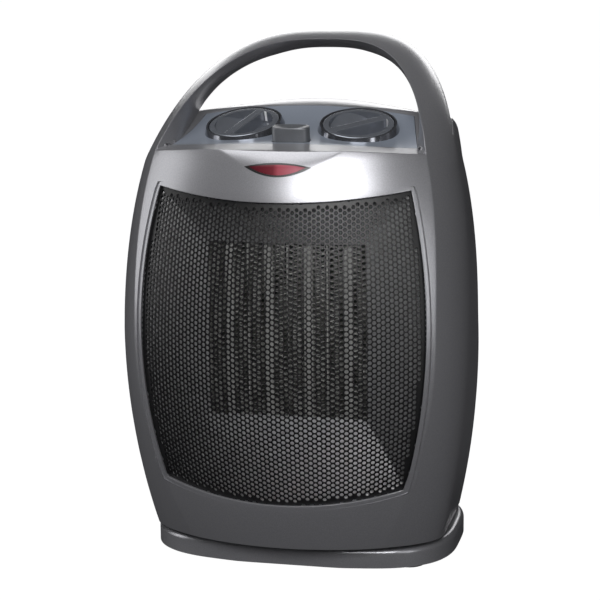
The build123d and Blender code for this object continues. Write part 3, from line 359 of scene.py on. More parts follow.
def deck_w(y):
    """Outline parameter where the band meets the deck."""
    y = np.asarray(y, float)
    found = halve(lambda w: under_deck(w, y), np.full(y.shape, 1.0), np.full(y.shape, 1.95))
    return np.where(y <= fold_edge_y + 1e-4, fold_w, np.maximum(found, fold_w))


grip_half, grip_foot_z, grip_rise, grip_power = 58.4, 205.0, 40.5, 2.4
grip_below = 60.0


def opening(t):
    """Inside of the handle: a superellipse quarter, going straight down below its foot."""
    angle = np.clip(t, 0, 1) * math.pi / 2
    x = grip_half * np.maximum(np.cos(angle), 0) ** (2 / grip_power)
    z = grip_foot_z + grip_rise * np.sin(angle) ** (2 / grip_power) + grip_below * np.minimum(t, 0)
    return np.where(t >= 1, 0.0, x), z


def circle_of(a, b, c):
    """Centre and radius of the circle through three points."""
    (ax, ay), (bx, by), (cx, cy) = a, b, c
    d = 2 * (ax * (by - cy) + bx * (cy - ay) + cx * (ay - by))
    ux = ((ax**2 + ay**2) * (by - cy) + (bx**2 + by**2) * (cy - ay) + (cx**2 + cy**2) * (ay - by)) / d
    uy = ((ax**2 + ay**2) * (cx - bx) + (bx**2 + by**2) * (ax - cx) + (cx**2 + cy**2) * (bx - ax)) / d
    return (ux, uy), math.hypot(ax - ux, ay - uy)


def arc_through(a, b, c, count):
    """Points along the circle through a, b and c, from a to c."""
    (ux, uy), radius = circle_of(a, b, c)
    start, end = (math.atan2(y - uy, x - ux) for x, y in (a, c))
    end += 2 * math.pi * round((start - end) / (2 * math.pi))
    angle = np.linspace(start, end, count)
    return ux + radius * np.cos(angle), uy + radius * np.sin(angle)


def grid3(x, y, z):
    """Grid of points in millimetres."""
    return np.stack(np.broadcast_arrays(x, y, z), -1).astype(float)


def round_edge(a, b, radius):
    """Pull two grids back from the edge that their first columns share; returns the arc between.

    The arc is a quadratic curve: (1 - t)^2 start + 2 t (1 - t) edge + t^2 end.
    """
    edge = a[:, 0].copy()
    start, end = (edge + radius * (g[:, 1] - edge) / np.linalg.norm(g[:, 1] - edge, axis=1)[:, None]
                  for g in (a, b))
    a[:, 0], b[:, 0] = start, end
    t = np.linspace(0, 1, 5)[:, None]
    return (1 - t) ** 2 * start[:, None] + 2 * t * (1 - t) * edge[:, None] + t**2 * end[:, None]


def clean(name, mesh, merge, dissolve=0.0, sides=0, out=None):
    """Copy of a mesh with near points merged, small holes closed and its faces turned outwards.

    merge and dissolve are gaps in metres; sides is the most edges of a hole that is closed.
    out is for an open skin: its face that lies furthest along out is made to point along out.
    """
    work = bmesh.new()
    work.from_mesh(mesh)
    bmesh.ops.remove_doubles(work, verts=work.verts, dist=merge)
    if dissolve:
        bmesh.ops.dissolve_degenerate(work, edges=work.edges, dist=dissolve)
    if sides:
        bmesh.ops.holes_fill(work, edges=[e for e in work.edges if e.is_boundary], sides=sides)
    bmesh.ops.recalc_face_normals(work, faces=work.faces)
    if out:
        last = max(work.faces, key=lambda face: face.calc_center_median().dot(out))
        if last.normal.dot(out) < 0:
            bmesh.ops.reverse_faces(work, faces=work.faces)
    data = bpy.data.meshes.new(name)
    work.to_mesh(data)
    work.free()
    return data


def settled(made, angle=32.0):
    """Apply the modifiers and shade smooth up to an angle."""
    graph = bpy.context.evaluated_depsgraph_get()
    graph.update()
    data = bpy.data.meshes.new_from_object(made.evaluated_get(graph))
    made.modifiers.clear()
    made.data = data
    data.polygons.foreach_set("use_smooth", np.ones(len(data.polygons), bool))
    data.set_sharp_from_angle(angle=math.radians(angle))
    return made


def add_wall(made, thickness, offset=-1.0):
    """Give a skin a wall in millimetres: inwards at an offset of -1, to both sides at 0."""
    wall = made.modifiers.new("wall", "SOLIDIFY")
    wall.thickness, wall.offset = thickness / 1000, offset
    return wall


upwards, forwards = Vector((0.0, 0.0, 1.0)), Vector((0.0, -1.0, 0.0))
thin_step, thin_shares = 1.2, 10


def skin(name, grids, thickness):
    """Join grids and their mirror images, close the small corners, then add the wall inwards.

    The wall thins to a tenth over the deck and the handle, whose rear edge is acute.
    """
    both = [g / 1000 for g in grids] + [g / 1000 * (-1, 1, 1) for g in grids]
    made = link(name, clean(name, grid_mesh(name, both), 0.00003, dissolve=0.00002, sides=30, out=upwards))
    thinned = made.vertex_groups.new(name="wall")
    heights = np.empty(3 * len(made.data.vertices))
    made.data.vertices.foreach_get("co", heights)
    level = np.clip(np.round((rear_foot_z - heights[2::3] * 1000) / thin_step), 1, thin_shares)
    for share in range(1, thin_shares + 1):
        thinned.add(np.flatnonzero(level == share).tolist(), share / thin_shares, "REPLACE")
    add_wall(made, thickness).vertex_group = "wall"
    return settled(made)


def prism(x, z, start_y, end_y):
    """Closed prism of a front-view outline between two depths: points in metres, and faces."""
    points = np.concatenate([grid3(x, y, z) for y in (start_y, end_y)]) / 1000
    count = len(x)
    ring = [(i, (i + 1) % count, (i + 1) % count + count, i + count) for i in range(count)]
    return points, ring + [tuple(range(count))[::-1], tuple(range(count, 2 * count))]


def carve(piece, prisms):
    """Cut closed prisms out of a piece."""
    data, points, faces = bpy.data.meshes.new("cutter"), [], []
    for some_points, some_faces in prisms:
        start = sum(len(p) for p in points)
        points.append(some_points)
        faces += [tuple(i + start for i in face) for face in some_faces]
    data.from_pydata(np.concatenate(points).tolist(), [], faces)
    cutter = link("cutter", clean("cutter", data, 0.000001))
    bore = piece.modifiers.new("cut", "BOOLEAN")
    bore.operation, bore.solver, bore.object = "DIFFERENCE", "EXACT", cutter
    settled(piece)
    bpy.data.objects.remove(cutter)


# Window in the front view: three arcs, each through three points
window_foot, window_brow = (58.6, 44.9), (60.4, 186.2)
window_side = (window_foot, (69.0, 115.0), window_brow)
window_sill = ((0.0, 37.1), (30.0, 39.1), window_foot)
window_head = ((0.0, 181.3), (31.0, 182.55), window_brow)

foot_w = 1 - (widest_z - window_foot[1]) / (widest_z - floor_z)
low_w = even_steps(front_edge, 0, foot_w, 16)
side_w = even_steps(front_edge, foot_w, fold_w, 70)
top_w = even_steps(front_edge, fold_w, 2, 84)
body_s = np.concatenate([low_w, side_w[1:]]) / fold_w
hoop_s = (top_w - fold_w) / (2 - fold_w)
depth = np.linspace(0, 1, 31)

# Body band: its top row follows the handle's foot, then the edge of the deck to the joint
foot_end_y = float(settle(lambda y: rear_plane(band(deck_w(y), y)[1]), np.array(0.0)))
top_y = np.concatenate([fold_edge_y + (foot_end_y - fold_edge_y) * depth,
                        np.linspace(foot_end_y, parting_y, 12)[1:]])
top_rate = np.concatenate([depth, np.linspace(1, 2, 12)[1:]])
body_w = body_s[:, None] * deck_w(top_y)
start_x, start_z = front_edge(body_s * fold_w)
start_y = edge_y(start_z, start_x)[:, None]
body_y = np.where(top_rate <= 1, start_y + (foot_end_y - start_y) * top_rate, top_y)
body_x, body_z = band(body_w, body_y)
body = grid3(body_x, body_y, body_z)

# Handle: its outside carries the band on up to the rear plane
hoop_base = deck_w(top_y[:len(depth)])
hoop_w = hoop_base + (2 - hoop_base) * hoop_s[:, None]
lead_x, lead_z = front_edge(top_w)
lead_y = edge_y(lead_z, lead_x)
hoop_end = settle(lambda y: rear_plane(band(hoop_w[:, -1], y)[1]), np.full(len(top_w), 20.0))
hoop_y = lead_y[:, None] + (hoop_end - lead_y)[:, None] * depth
hoop_x, hoop_z = band(hoop_w, hoop_y)
hoop = grid3(hoop_x, hoop_y, hoop_z)

inside_ease = 22.0


def inside(t, y, rows):
    """Inside of the handle at opening parameter t and depth y, for some rows of the leading edge.

    It eases from the leading edge to the finger opening over inside_ease.
    """
    ox, oz = opening(t)
    ease = eased((y - lead_y[rows]) / inside_ease)
    return lead_x[rows] + (ox - lead_x[rows]) * ease, lead_z[rows] + (oz - lead_z[rows]) * ease


def foot_t(y):
    """Opening parameter at which the inside stands on the deck."""

    def under(t):
        """True where the inside lies below the deck."""
        x, z = inside(t, y, 0)
        return z < deck(x, y)

    return halve(under, np.full(np.shape(y), -0.6), np.full(np.shape(y), 0.6))


inner_foot_y = float(settle(lambda y: rear_plane(inside(foot_t(y), y, 0)[1]), np.array(6.0)))
inner_y0 = lead_y[0] + (inner_foot_y - lead_y[0]) * depth
inner_t0 = foot_t(inner_y0)
inner_t0[0] = inner_t0[1]
inner_s = even_steps(opening, 0, 1, len(top_w))
inner_t = inner_t0 + (1 - inner_t0) * inner_s[:, None]
every = np.arange(len(top_w))
inner_end = settle(lambda y: rear_plane(inside(inner_t[:, -1], y, every)[1]),
                   np.full(len(top_w), 20.0))
inner_y = lead_y[:, None] + (inner_end - lead_y)[:, None] * depth
inner_x, inner_z = inside(inner_t, inner_y, every[:, None])
inner = grid3(inner_x, inner_y, inner_z)

# Rear face of the handle, ruled between outside and inside, its foot on the deck
ruled = np.linspace(0, 1, 7)
rear_x = hoop_x[:, -1:] + (inner_x[:, -1:] - hoop_x[:, -1:]) * ruled
rear_z = hoop_z[:, -1:] + (inner_z[:, -1:] - hoop_z[:, -1:]) * ruled
rear_y = rear_plane(rear_z)
rear_y[0] = settle(lambda y: rear_plane(deck(rear_x[0], y)), rear_y[0])
rear_z[0] = deck(rear_x[0], rear_y[0])
for face_part, outer_part, inner_part in ((rear_y, hoop_y, inner_y), (rear_z, hoop_z, inner_z)):
    face_part[:, 0], face_part[:, -1] = outer_part[:, -1], inner_part[:, -1]
rear = grid3(rear_x, rear_y, rear_z)

# Face: strips from the window to the front edge, and a wall into the window
across = np.linspace(0, 1, 6)
into = np.array([0.0, 1.2, 2.4])


def face_grid(inner_x, inner_z, outer_x, outer_z, outer_y, shares=across):
    """Ruled strip of the face between two lines of the front view."""
    x = inner_x[:, None] + (outer_x - inner_x)[:, None] * shares
    z = inner_z[:, None] + (outer_z - inner_z)[:, None] * shares
    y = face_y(x, z)
    y[:, -1] = outer_y
    return grid3(x, y, z)


window_x, window_z = arc_through(*window_side, len(side_w))
side_x, side_z = front_edge(side_w)
side_strip = face_grid(window_x, window_z, side_x, side_z, edge_y(side_z, side_x))

bottom_steps = 22
bottom_x = np.linspace(0, foot_half, bottom_steps)
low_x, low_z = front_edge(low_w)
outer_x = np.concatenate([bottom_x, low_x[1:]])
outer_z = np.concatenate([np.full(bottom_steps, floor_z), low_z[1:]])
sill_x, sill_z = arc_through(*window_sill, len(outer_x))
sill_strip = face_grid(sill_x, sill_z, outer_x, outer_z, face_y(outer_x, outer_z))

# Upper strip and deck, with a shallow scoop over the lens.  A column follows the scoop's crease.
lens_half, lens_z = 15.9, 197.4
scoop_half, scoop_high, scoop_back, scoop_drop = 29.5, 5.6, 1.5, 1.0
scoop_columns, plain_columns = 18, 23


def creased(middle_end, end):
    """Steps from 0 to the crease at middle_end, then on to the end."""
    return np.concatenate([np.linspace(0, middle_end, scoop_columns),
                           np.linspace(middle_end, end, plain_columns)[1:]])


line_x = creased(scoop_half, fold_edge_x)
line_z = settle(lambda z: deck(line_x, face_y(line_x, z)), np.full_like(line_x, 203.0))
line_z[-1] = fold_edge_z
line_y = face_y(line_x, line_z)
line_y[-1] = fold_edge_y
hollow = np.clip(1 - (line_x / scoop_half) ** 2, 0, None)
head_x, head_z = arc_through(*window_head, len(line_x))

# Line through the lens: level to its corner, then towards the edge of the housing
lens_line_share = 0.6
lens_line_x = creased(lens_half, window_brow[0] + (fold_edge_x - window_brow[0]) * lens_line_share)
lens_line_end_z = window_brow[1] + (fold_edge_z - window_brow[1]) * lens_line_share
lens_line_z = np.interp(lens_line_x, (lens_half, lens_line_x[-1]), (lens_z, lens_line_end_z))
head_strip = face_grid(head_x, head_z, lens_line_x, lens_line_z, face_y(lens_line_x, lens_line_z),
                       np.linspace(0, 1, 4))
brow_strip = face_grid(lens_line_x, lens_line_z, line_x, line_z, line_y, np.linspace(0, 1, 3))
brow_strip[:, 1] += hollow[:, None] * (0, scoop_back / 2, -scoop_drop / 2)
brow_strip[:, 2] += hollow[:, None] * (0, scoop_back, -scoop_drop)

# Deck round the pocket of the control panel, the pocket's wall, and the deck behind.
# The panel's front edge bulges by panel_bulge, its sides run in, and its back edge is an arc.
pocket_gap = 0.25
panel_half, panel_bulge = 60.0, 11.5
panel_corner_x, panel_corner_y = 52.5, 6.5
pocket_crease_x = 40.2
panel_bend = (panel_half**2 + panel_bulge**2) / (2 * panel_bulge)
arc_x = creased(pocket_crease_x, panel_half + pocket_gap)
front_arc = (arc_x, deck_front_y - pocket_gap + panel_bend - np.sqrt(panel_bend**2 - arc_x**2))
side_arc = [np.linspace(a, b, len(depth)) for a, b in
            ((panel_half + pocket_gap, panel_corner_x + pocket_gap),
             (front_arc[1][-1], panel_corner_y + pocket_gap))]
back_arc = arc_through((0.0, 9.7 + pocket_gap), (26.0, 8.9 + pocket_gap),
                       (panel_corner_x + pocket_gap, panel_corner_y + pocket_gap), 30)


def ruled_deck(ax, ay, bx, by):
    """Strip of the deck between two lines of the plan."""
    x = ax[:, None] + (bx - ax)[:, None] * across
    y = ay[:, None] + (by - ay)[:, None] * across
    return grid3(x, y, deck(x, y))


front_part = ruled_deck(front_arc[0], front_arc[1], line_x, line_y)
front_part[:, -1] = grid3(line_x, line_y, line_z)
front_part += hollow[:, None, None] * (across**1.2)[:, None] * (0, scoop_back, -scoop_drop)
side_part = ruled_deck(side_arc[0], side_arc[1], inner_x[0], inner_y[0])
side_part[:, -1] = inner[0]
side_part[0] = front_part[-1]

joint_x = np.concatenate([back_arc[0], side_part[-1, 1:, 0], rear_x[0, ::-1][1:]])
joint_y = np.concatenate([back_arc[1], side_part[-1, 1:, 1], rear_y[0, ::-1][1:]])
out_x, out_y, out_z = (grid[-1, len(depth) - 1:] for grid in (body_x, body_y, body_z))
back_rate = (out_y - foot_end_y) / (parting_y - foot_end_y)
behind_x = (joint_x / joint_x[-1])[:, None] * out_x
behind_y = joint_y[:, None] * (1 - back_rate) + parting_y * back_rate
behind_z = deck(behind_x, behind_y)
behind_z[-1] = out_z
behind = grid3(behind_x, behind_y, behind_z)

# Floor of the front half
floor_rate = (body_y[0] - body_y[0, 0]) / (parting_y - body_y[0, 0])
floor_y = face_y(bottom_x, floor_z)[:, None] * (1 - floor_rate) + parting_y * floor_rate
floor = grid3((bottom_x / foot_half)[:, None] * body_x[0], floor_y, floor_z)
front_grids = [body, hoop, inner, rear, side_strip, sill_strip, head_strip, brow_strip,
               front_part, side_part, behind, floor]
for loop_x, loop_y in (front_arc, side_arc, back_arc):
    down = deck(loop_x, loop_y)[:, None] - into
    front_grids.append(grid3(loop_x[:, None], loop_y[:, None], down))

# Rounded edges: front edge, handle, window, fold and the edge of the rear deck
edge_round, rear_round, lip_round, brow_round = 0.7, 0.9, 0.5, 1.4
face_rows = np.concatenate([sill_strip[bottom_steps - 1:-1, ::-1], side_strip[:, ::-1]])
front_grids.append(round_edge(body, face_rows, edge_round))
low_count = len(low_w) - 1
sill_strip[bottom_steps - 1:, -1] = face_rows[:low_count + 1, 0]
side_strip[:, -1] = face_rows[low_count:, 0]
front_grids.append(round_edge(hoop, inner, edge_round))
front_grids.append(round_edge(hoop[:, ::-1], rear, rear_round))
front_grids.append(round_edge(inner[:, ::-1], rear[:, ::-1], rear_round))
for strip in (side_strip, sill_strip, head_strip):
    wall_grid = strip[:, :1] + into[:, None] * (0, 1, 0)
    front_grids += [wall_grid, round_edge(strip, wall_grid, lip_round)]
front_grids.append(round_edge(brow_strip[:, ::-1], front_part[:, ::-1], lip_round))
brow_strip[-1, -1] = side_strip[-1, -1]
front_grids.append(round_edge(body.swapaxes(0, 1)[len(depth) - 1:, ::-1],
                              behind.swapaxes(0, 1)[:, ::-1], brow_round))


def finish(name, dark, light, metallic=0.0, roughness=0.5, vary=0.05, grain=1.0, stretch=(1, 1, 1),
           detail=3.0, bump=0.04, coat=0.0, coat_roughness=0.1, **more):
    """Two tones mixed by a noise of a grain in millimetres, which also moves the roughness."""
    material, tree = new_material(name)
    spot = add_node(tree, "ShaderNodeTexCoord")
    spread_out = add_node(tree, "ShaderNodeMapping", {"Vector": spot.outputs["Object"],
                                                      "Scale": stretch})
    noise = add_node(tree, "ShaderNodeTexNoise", {"Vector": spread_out.outputs[0],
                                                  "Scale": 1000.0 / grain, "Detail": detail})
    tone = add_node(tree, "ShaderNodeMapRange", {"Value": noise.outputs["Fac"], "From Min": 0.3,
                                                 "From Max": 0.7})
    mix = add_node(tree, "ShaderNodeMix", {"Factor": tone.outputs[0], 6: linear(dark),
                                           7: linear(light)}, data_type="RGBA")
    rough = add_node(tree, "ShaderNodeMapRange", {
        "Value": noise.outputs["Fac"], "To Min": roughness - vary, "To Max": roughness + vary})
    ripple = add_node(tree, "ShaderNodeBump", {"Height": noise.outputs["Fac"], "Strength": bump,
                                               "Distance": 0.0002})
    shader = add_node(tree, "ShaderNodeBsdfPrincipled", {
        "Base Color": mix.outputs[2], "Metallic": metallic, "Roughness": rough.outputs[0],
        "Coat Weight": coat, "Coat Roughness": coat_roughness, "Normal": ripple.outputs[0], **more})
    add_node(tree, "ShaderNodeOutputMaterial", {"Surface": shader.outputs[0]})
    return material


# Metallic grey lacquer on ABS: fine aluminium flakes under a thin clear coat
lacquer = finish("metallic_grey_lacquer_on_abs", "#88888c", "#949498", metallic=0.60, roughness=0.31,
                 vary=0.0, grain=1 / 2.2, detail=2.0, coat=0.25, coat_roughness=0.18)

slot_of = {part["node"]: part["material_slot"] for part in frame["record"]["subparts"]}
body_of = {node: body for body, nodes in frame["record"]["behaviour"]["bodies"].items()
           for node in nodes}


def fit_piece(piece, node, material):
    """The piece stands for a CAD node: it moves with its body, takes the material given, and hides the node.
    """
    piece.data.materials.clear()
    piece.data.materials.append(material)
    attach(piece, body_of[node])
    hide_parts(node)


front_shell = skin("front_shell", front_grids, housing_wall)
fit_piece(front_shell, "front_housing", lacquer)

# ---------------------------------------------------------------------------
# Rear housing.  A second moulding in the same lacquered ABS closes the body behind,
# with eleven air slots, four screw holes and the cord inlet.  Screws hold it.
# ---------------------------------------------------------------------------
parting_gap = 0.25
rear_start = parting_y + parting_gap
rear_rate = np.linspace(0, 1, 20)
rear_top_y = settle(lambda y: back_y(*band(deck_w(y), y)), np.array(66.0))
rear_column_y = rear_start + (rear_top_y - rear_start) * rear_rate
rear_w = body_s[:, None] * deck_w(rear_column_y)
rear_end_y = settle(lambda y: back_y(*band(rear_w[:, -1], y)), np.full(len(body_s), 66.0))
rear_band_y = rear_start + (rear_end_y[:, None] - rear_start) * rear_rate
rear_band_x, rear_band_z = band(rear_w, rear_band_y)
spread = np.linspace(0, 1, 40)
brow_x = spread * rear_band_x[-1, -1]
brow_z = settle(lambda z: deck(brow_x, back_y(brow_x, z)), np.full_like(brow_x, 185.0))
brow_z[-1] = rear_band_z[-1, -1]
back_x = spread * rear_band_x[:, -1:]
back_z = floor_z + (rear_band_z[:, -1:] - floor_z) * (brow_z - floor_z) / (brow_z[-1] - floor_z)
back_depth = back_y(back_x, back_z)
back_depth[:, -1] = rear_band_y[:, -1]
roof_x = spread[:, None] * rear_band_x[-1]
roof_rate = (rear_band_y[-1] - rear_start) / (rear_band_y[-1, -1] - rear_start)
roof_y = rear_start * (1 - roof_rate) + back_depth[-1][:, None] * roof_rate
roof_z = deck(roof_x, roof_y)
roof_z[-1] = rear_band_z[-1]
roof_z[:, -1] = brow_z
sole_rate = (rear_band_y[0] - rear_start) / (rear_band_y[0, -1] - rear_start)
sole_y = rear_start * (1 - sole_rate) + back_depth[0][:, None] * sole_rate
rear_band = grid3(rear_band_x, rear_band_y, rear_band_z)
back = grid3(back_x, back_depth, back_z)
roof = grid3(roof_x, roof_y, roof_z)
rear_grids = [rear_band, back, roof, grid3(spread[:, None] * rear_band_x[0], sole_y, floor_z),
              round_edge(rear_band[:, ::-1], back[:, ::-1], brow_round),
              round_edge(rear_band.swapaxes(0, 1)[:, ::-1], roof.swapaxes(0, 1)[:, ::-1], brow_round),
              round_edge(back.swapaxes(0, 1)[:, ::-1], roof[:, ::-1], brow_round)]
rear_shell = skin("rear_shell", rear_grids, housing_wall)

# Air slots with round ends, one above the other, and the round holes
slot_half, slot_end_radius, slot_pitch, slot_middle_z, slots_each_way = 31.2, 1.8, 7.6, 117.4, 5
screw_radius, gland_radius = 4.1, 6.5
screw_holes = [(side * 63, z, screw_radius) for z in (42, 168) for side in (-1, 1)]
gland_hole = (-44, 30, gland_radius)
slots_from_y, holes_from_y, cuts_to_y = 45, 35, 80
end_turn = np.linspace(-math.pi / 2, math.pi / 2, 9)
end_x = slot_half + slot_end_radius * np.cos(end_turn)
end_z = slot_end_radius * np.sin(end_turn)
slot_x, slot_z = np.concatenate([end_x, -end_x]), np.concatenate([end_z, -end_z])
cuts = [prism(slot_x, slot_z + slot_middle_z + slot_pitch * i, slots_from_y, cuts_to_y)
        for i in range(-slots_each_way, slots_each_way + 1)]
round_turn = np.linspace(0, 2 * math.pi, 29)[:-1]
for hole_x, hole_z, radius in (*screw_holes, gland_hole):
    cuts.append(prism(hole_x + radius * np.cos(round_turn), hole_z + radius * np.sin(round_turn),
                      holes_from_y, cuts_to_y))
carve(rear_shell, cuts)
fit_piece(rear_shell, "rear_housing", lacquer)

# ---------------------------------------------------------------------------
# Control panel and its parts.  Satin ABS panel let into the deck, two metallised
# rings, two knobs with scooped tops and a push button that stands in the panel.
# ---------------------------------------------------------------------------


def smooth_copy(node, name, material):
    """Copy of a CAD piece with its points merged and its round faces shaded smooth."""
    source = frame["nodes"][node]
    data = source.data.copy()
    data.transform(source.matrix_world)
    fit_piece(settled(link(name, clean(name, data, 0.000002))), node, material)


# Bluish grey ABS, fine spark-eroded grain
panel_abs = finish("bluish_grey_abs", "#868d99", "#8c939f", roughness=0.34, grain=0.35, bump=0.03,
                   metallic=0.45)
# Grey ABS with a vacuum-deposited gloss
gloss_abs = finish("metallised_abs", "#74767c", "#787a80", metallic=0.85, roughness=0.16, grain=6.0,
                   bump=0.01, coat=0.3)
# Grey ABS, polished
knob_abs = finish("polished_grey_abs", "#7c8088", "#80848c", metallic=0.65, roughness=0.22, grain=3.0,
                  bump=0.0, coat=0.3)
smooth_copy("control_panel", "panel", panel_abs)
smooth_copy("dial_ring_left", "left_ring", gloss_abs)
smooth_copy("dial_ring_right", "right_ring", gloss_abs)

knob_r, scoop_r, half_bar, scoop_deep, knob_top = 17.2, 14.4, 2.5, 5.5, 3.0
scoop_bend = ((scoop_r - half_bar) ** 2 + scoop_deep**2) / (2 * scoop_deep)
joint_of = {joint["name"]: joint for joint in frame["record"]["behaviour"]["joints"]}


def welded(name, grids, node, material, wall=0.0):
    """Join grids into one piece, close its corners, and give it a wall if it is only a skin."""
    mesh = grid_mesh(name, [g / 1000 for g in grids])
    made = link(name, clean(name, mesh, 0.00001, dissolve=0.00001, sides=3 if wall else 24))
    if wall:
        add_wall(made, wall, 0.0)
    fit_piece(settled(made, 38.0), node, material)


def dial(name, node, joint, turn):
    """Knob: scoop floors are arcs, height = -depth + bend - sqrt(bend^2 - (v - half_bar)^2)."""
    axis = np.array(joint_of[joint]["axis"])
    level_x = np.array([axis[2], 0.0, -axis[0]]) / math.hypot(axis[2], axis[0])
    level_y = np.cross(axis, level_x)
    c, s = math.cos(math.radians(turn)), math.sin(math.radians(turn))
    along, over = c * level_x + s * level_y, -s * level_x + c * level_y
    middle_point = np.array(joint_of[joint]["pos_m"]) * 1000 + knob_top * axis

    def at(u, v, h):
        """Points at u along the finger bar, v across it and h above the top."""
        u, v, h = np.broadcast_arrays(u, v, h)
        return middle_point + u[..., None] * along + v[..., None] * over + h[..., None] * axis

    lean = math.asin(half_bar / scoop_r)
    phi = np.linspace(lean, math.pi - lean, 45)
    end_u, end_v = scoop_r * np.cos(phi)[:, None], scoop_r * np.sin(phi)[:, None]
    floor_v = half_bar + (end_v - half_bar) * np.linspace(0, 1, 12)
    floor_h = -scoop_deep + scoop_bend - np.sqrt(scoop_bend**2 - (floor_v - half_bar) ** 2)
    up = np.linspace(0, 1, 4)
    grids = [at(end_u, np.linspace(-half_bar, half_bar, 5), 0.0)]
    for way in (1, -1):
        side_wall = at(end_u, way * half_bar, -scoop_deep * up)
        bar_side = grids[0][:, ::-way]
        grids += [at(end_u, way * floor_v, floor_h), side_wall,
                  at(end_u, way * end_v, floor_h[:, -1:] * up), round_edge(side_wall, bar_side, lip_round)]
    cap = np.linspace(-half_bar, half_bar, 5)[1:-1]
    reach = scoop_r * math.cos(lean)
    loop_u = np.concatenate([end_u[:, 0], -reach + 0 * cap, -end_u[:, 0], reach + 0 * cap, end_u[:1, 0]])
    loop_v = np.concatenate([end_v[:, 0], cap[::-1], -end_v[:, 0], cap, end_v[:1, 0]])
    bearing = np.arctan2(loop_v, loop_u)[:, None]
    rim_r = np.array([16.6, 16.95, 17.15, knob_r, knob_r, 0.0])
    rim_h = np.array([0.0, -0.07, -0.25, -0.6, -6.4, -6.4])
    rim = at(rim_r * np.cos(bearing), rim_r * np.sin(bearing), rim_h)
    grids.append(np.concatenate([at(loop_u, loop_v, 0.0)[:, None], rim], 1))
    welded(name, grids, node, knob_abs)

    # Pointer: a white line printed down the end of the scoop
    mark_v = np.linspace(-4.3, -2.9, 4)
    mark_h = np.linspace(0.05, -5.0, 4)[:, None]
    mark = at(np.sqrt(scoop_r**2 - mark_v**2) - 0.15, mark_v, mark_h)
    welded(name + "_pointer", [mark], node, white_print, 0.1)


# White ink, slightly uneven
white_print = finish("white_pad_print", "#d8d8da", "#ececee", roughness=0.5, grain=0.3, bump=0.05)
dial("left_knob", "thermostat_knob", "thermostat_turn", 70.0)
dial("right_knob", "selector_knob", "selector_turn", 41.0)

# Button: an oval column with a dished top, standing in its frame on the deck
press_axis = -np.array(joint_of["button_press"]["axis"])
press_across = np.cross(press_axis, (1, 0, 0))
button_y, button_half, button_half_deep, button_power = -31.0, 8.9, 4.65, 3.4
press_foot = np.array([0.0, button_y, float(deck(0.0, button_y))])
button_turn = np.linspace(0, 2 * math.pi, 97)
button_cos, button_sin = np.cos(button_turn), np.sin(button_turn)
squared = (np.abs(button_cos) ** button_power + np.abs(button_sin) ** button_power) ** (-1 / button_power)
column_scale = np.array([1.0, 1.0, 0.985, 0.95, 0.90, 0.80, 0.6, 0.4, 0.2, 0.0])
column_h = np.array([-5.0, 6.1, 6.6, 6.9, 6.95, 6.8, 6.45, 6.2, 6.05, 6.0])
column_x = (button_half * squared * button_cos)[:, None] * column_scale
column_y = (button_half_deep * squared * button_sin)[:, None] * column_scale
button_grid = (press_foot + column_x[..., None] * (1, 0, 0) + column_y[..., None] * press_across
               + column_h[:, None] * press_axis)
# Grey ABS with a fine spark-eroded grain
button_abs = finish("grained_grey_abs", "#5c5e62", "#626468", metallic=0.4, roughness=0.36, grain=0.4,
                    bump=0.04)
welded("swing_button", [button_grid], "oscillation_button", button_abs)

# ---------------------------------------------------------------------------
# Indicator lens.  Translucent red acrylic, pointed at both ends, pressed into a
# black rim. Its colour holds a painted backlight, lighter on the side where the lamp stands behind it.
# ---------------------------------------------------------------------------
lens_thickness = 1.1
lens_end_x = 0.0150


def lens_piece(name, half, rise, drop, lift, material):
    """Pointed leaf on the face: between lens_z + rise (1 - u^2) and lens_z - drop (1 - u^2).

    It stands proud of the face by lift and follows the scoop above lens_z.
    """
    u = np.linspace(-1, 1, 41)[:, None]
    bow = 1 - u**2
    share = np.linspace(0, 1, 9)
    x = half * u + 0 * share
    z = lens_z - drop * bow + (rise + drop) * bow * share
    up = np.clip((z - lens_z) / scoop_high, 0, 1)
    hollow_here = np.clip(1 - (x / (lens_half + (scoop_half - lens_half) * up)) ** 2, 0, None) * up
    y = face_y(x, z) + scoop_back * hollow_here - lift
    made = link(name, clean(name, grid_mesh(name, [grid3(x, y, z) / 1000]), 0.00002, out=forwards))
    add_wall(made, lens_thickness)
    fit_piece(settled(made), "indicator_lens", material)


# Red acrylic with a painted backlight: the colour is dark at one end and brightest right of the middle
lens_acrylic_painted_backlight, tree = new_material("red_acrylic_painted_backlight")
spot = add_node(tree, "ShaderNodeTexCoord")
parts_xyz = add_node(tree, "ShaderNodeSeparateXYZ", {0: spot.outputs["Object"]})
along_lens = add_node(tree, "ShaderNodeMapRange", {"Value": parts_xyz.outputs[0],
                                                   "From Min": -lens_end_x, "From Max": lens_end_x})
# Painted backlight: a colour ramp along the lens stands in for light from behind it
painted_backlight_ramp = add_node(tree, "ShaderNodeValToRGB", {0: along_lens.outputs[0]})
stops = painted_backlight_ramp.color_ramp.elements
stops[0].position, stops[0].color = 0.0, linear("#3a0f18")
stops[1].position, stops[1].color = 1.0, linear("#6e2f3a")
for position, code in ((0.44, "#5e1420"), (0.52, "#8a3844"), (0.80, "#9a505c")):
    stops.new(position).color = linear(code)
shader = add_node(tree, "ShaderNodeBsdfPrincipled", {
    "Base Color": painted_backlight_ramp.outputs[0], "Roughness": 0.3, "Specular IOR Level": 0.2})
add_node(tree, "ShaderNodeOutputMaterial", {"Surface": shader.outputs[0]})
# Black ABS of the rim, polished
rim_abs = finish("black_abs", "#0c0c0d", "#161618", roughness=0.3, grain=0.6)
lens_piece("lens_rim", lens_half, 1.9, 4.4, 0.12, rim_abs)
lens_piece("red_lens", 13.4, 1.1, 3.5, 0.30, lens_acrylic_painted_backlight)
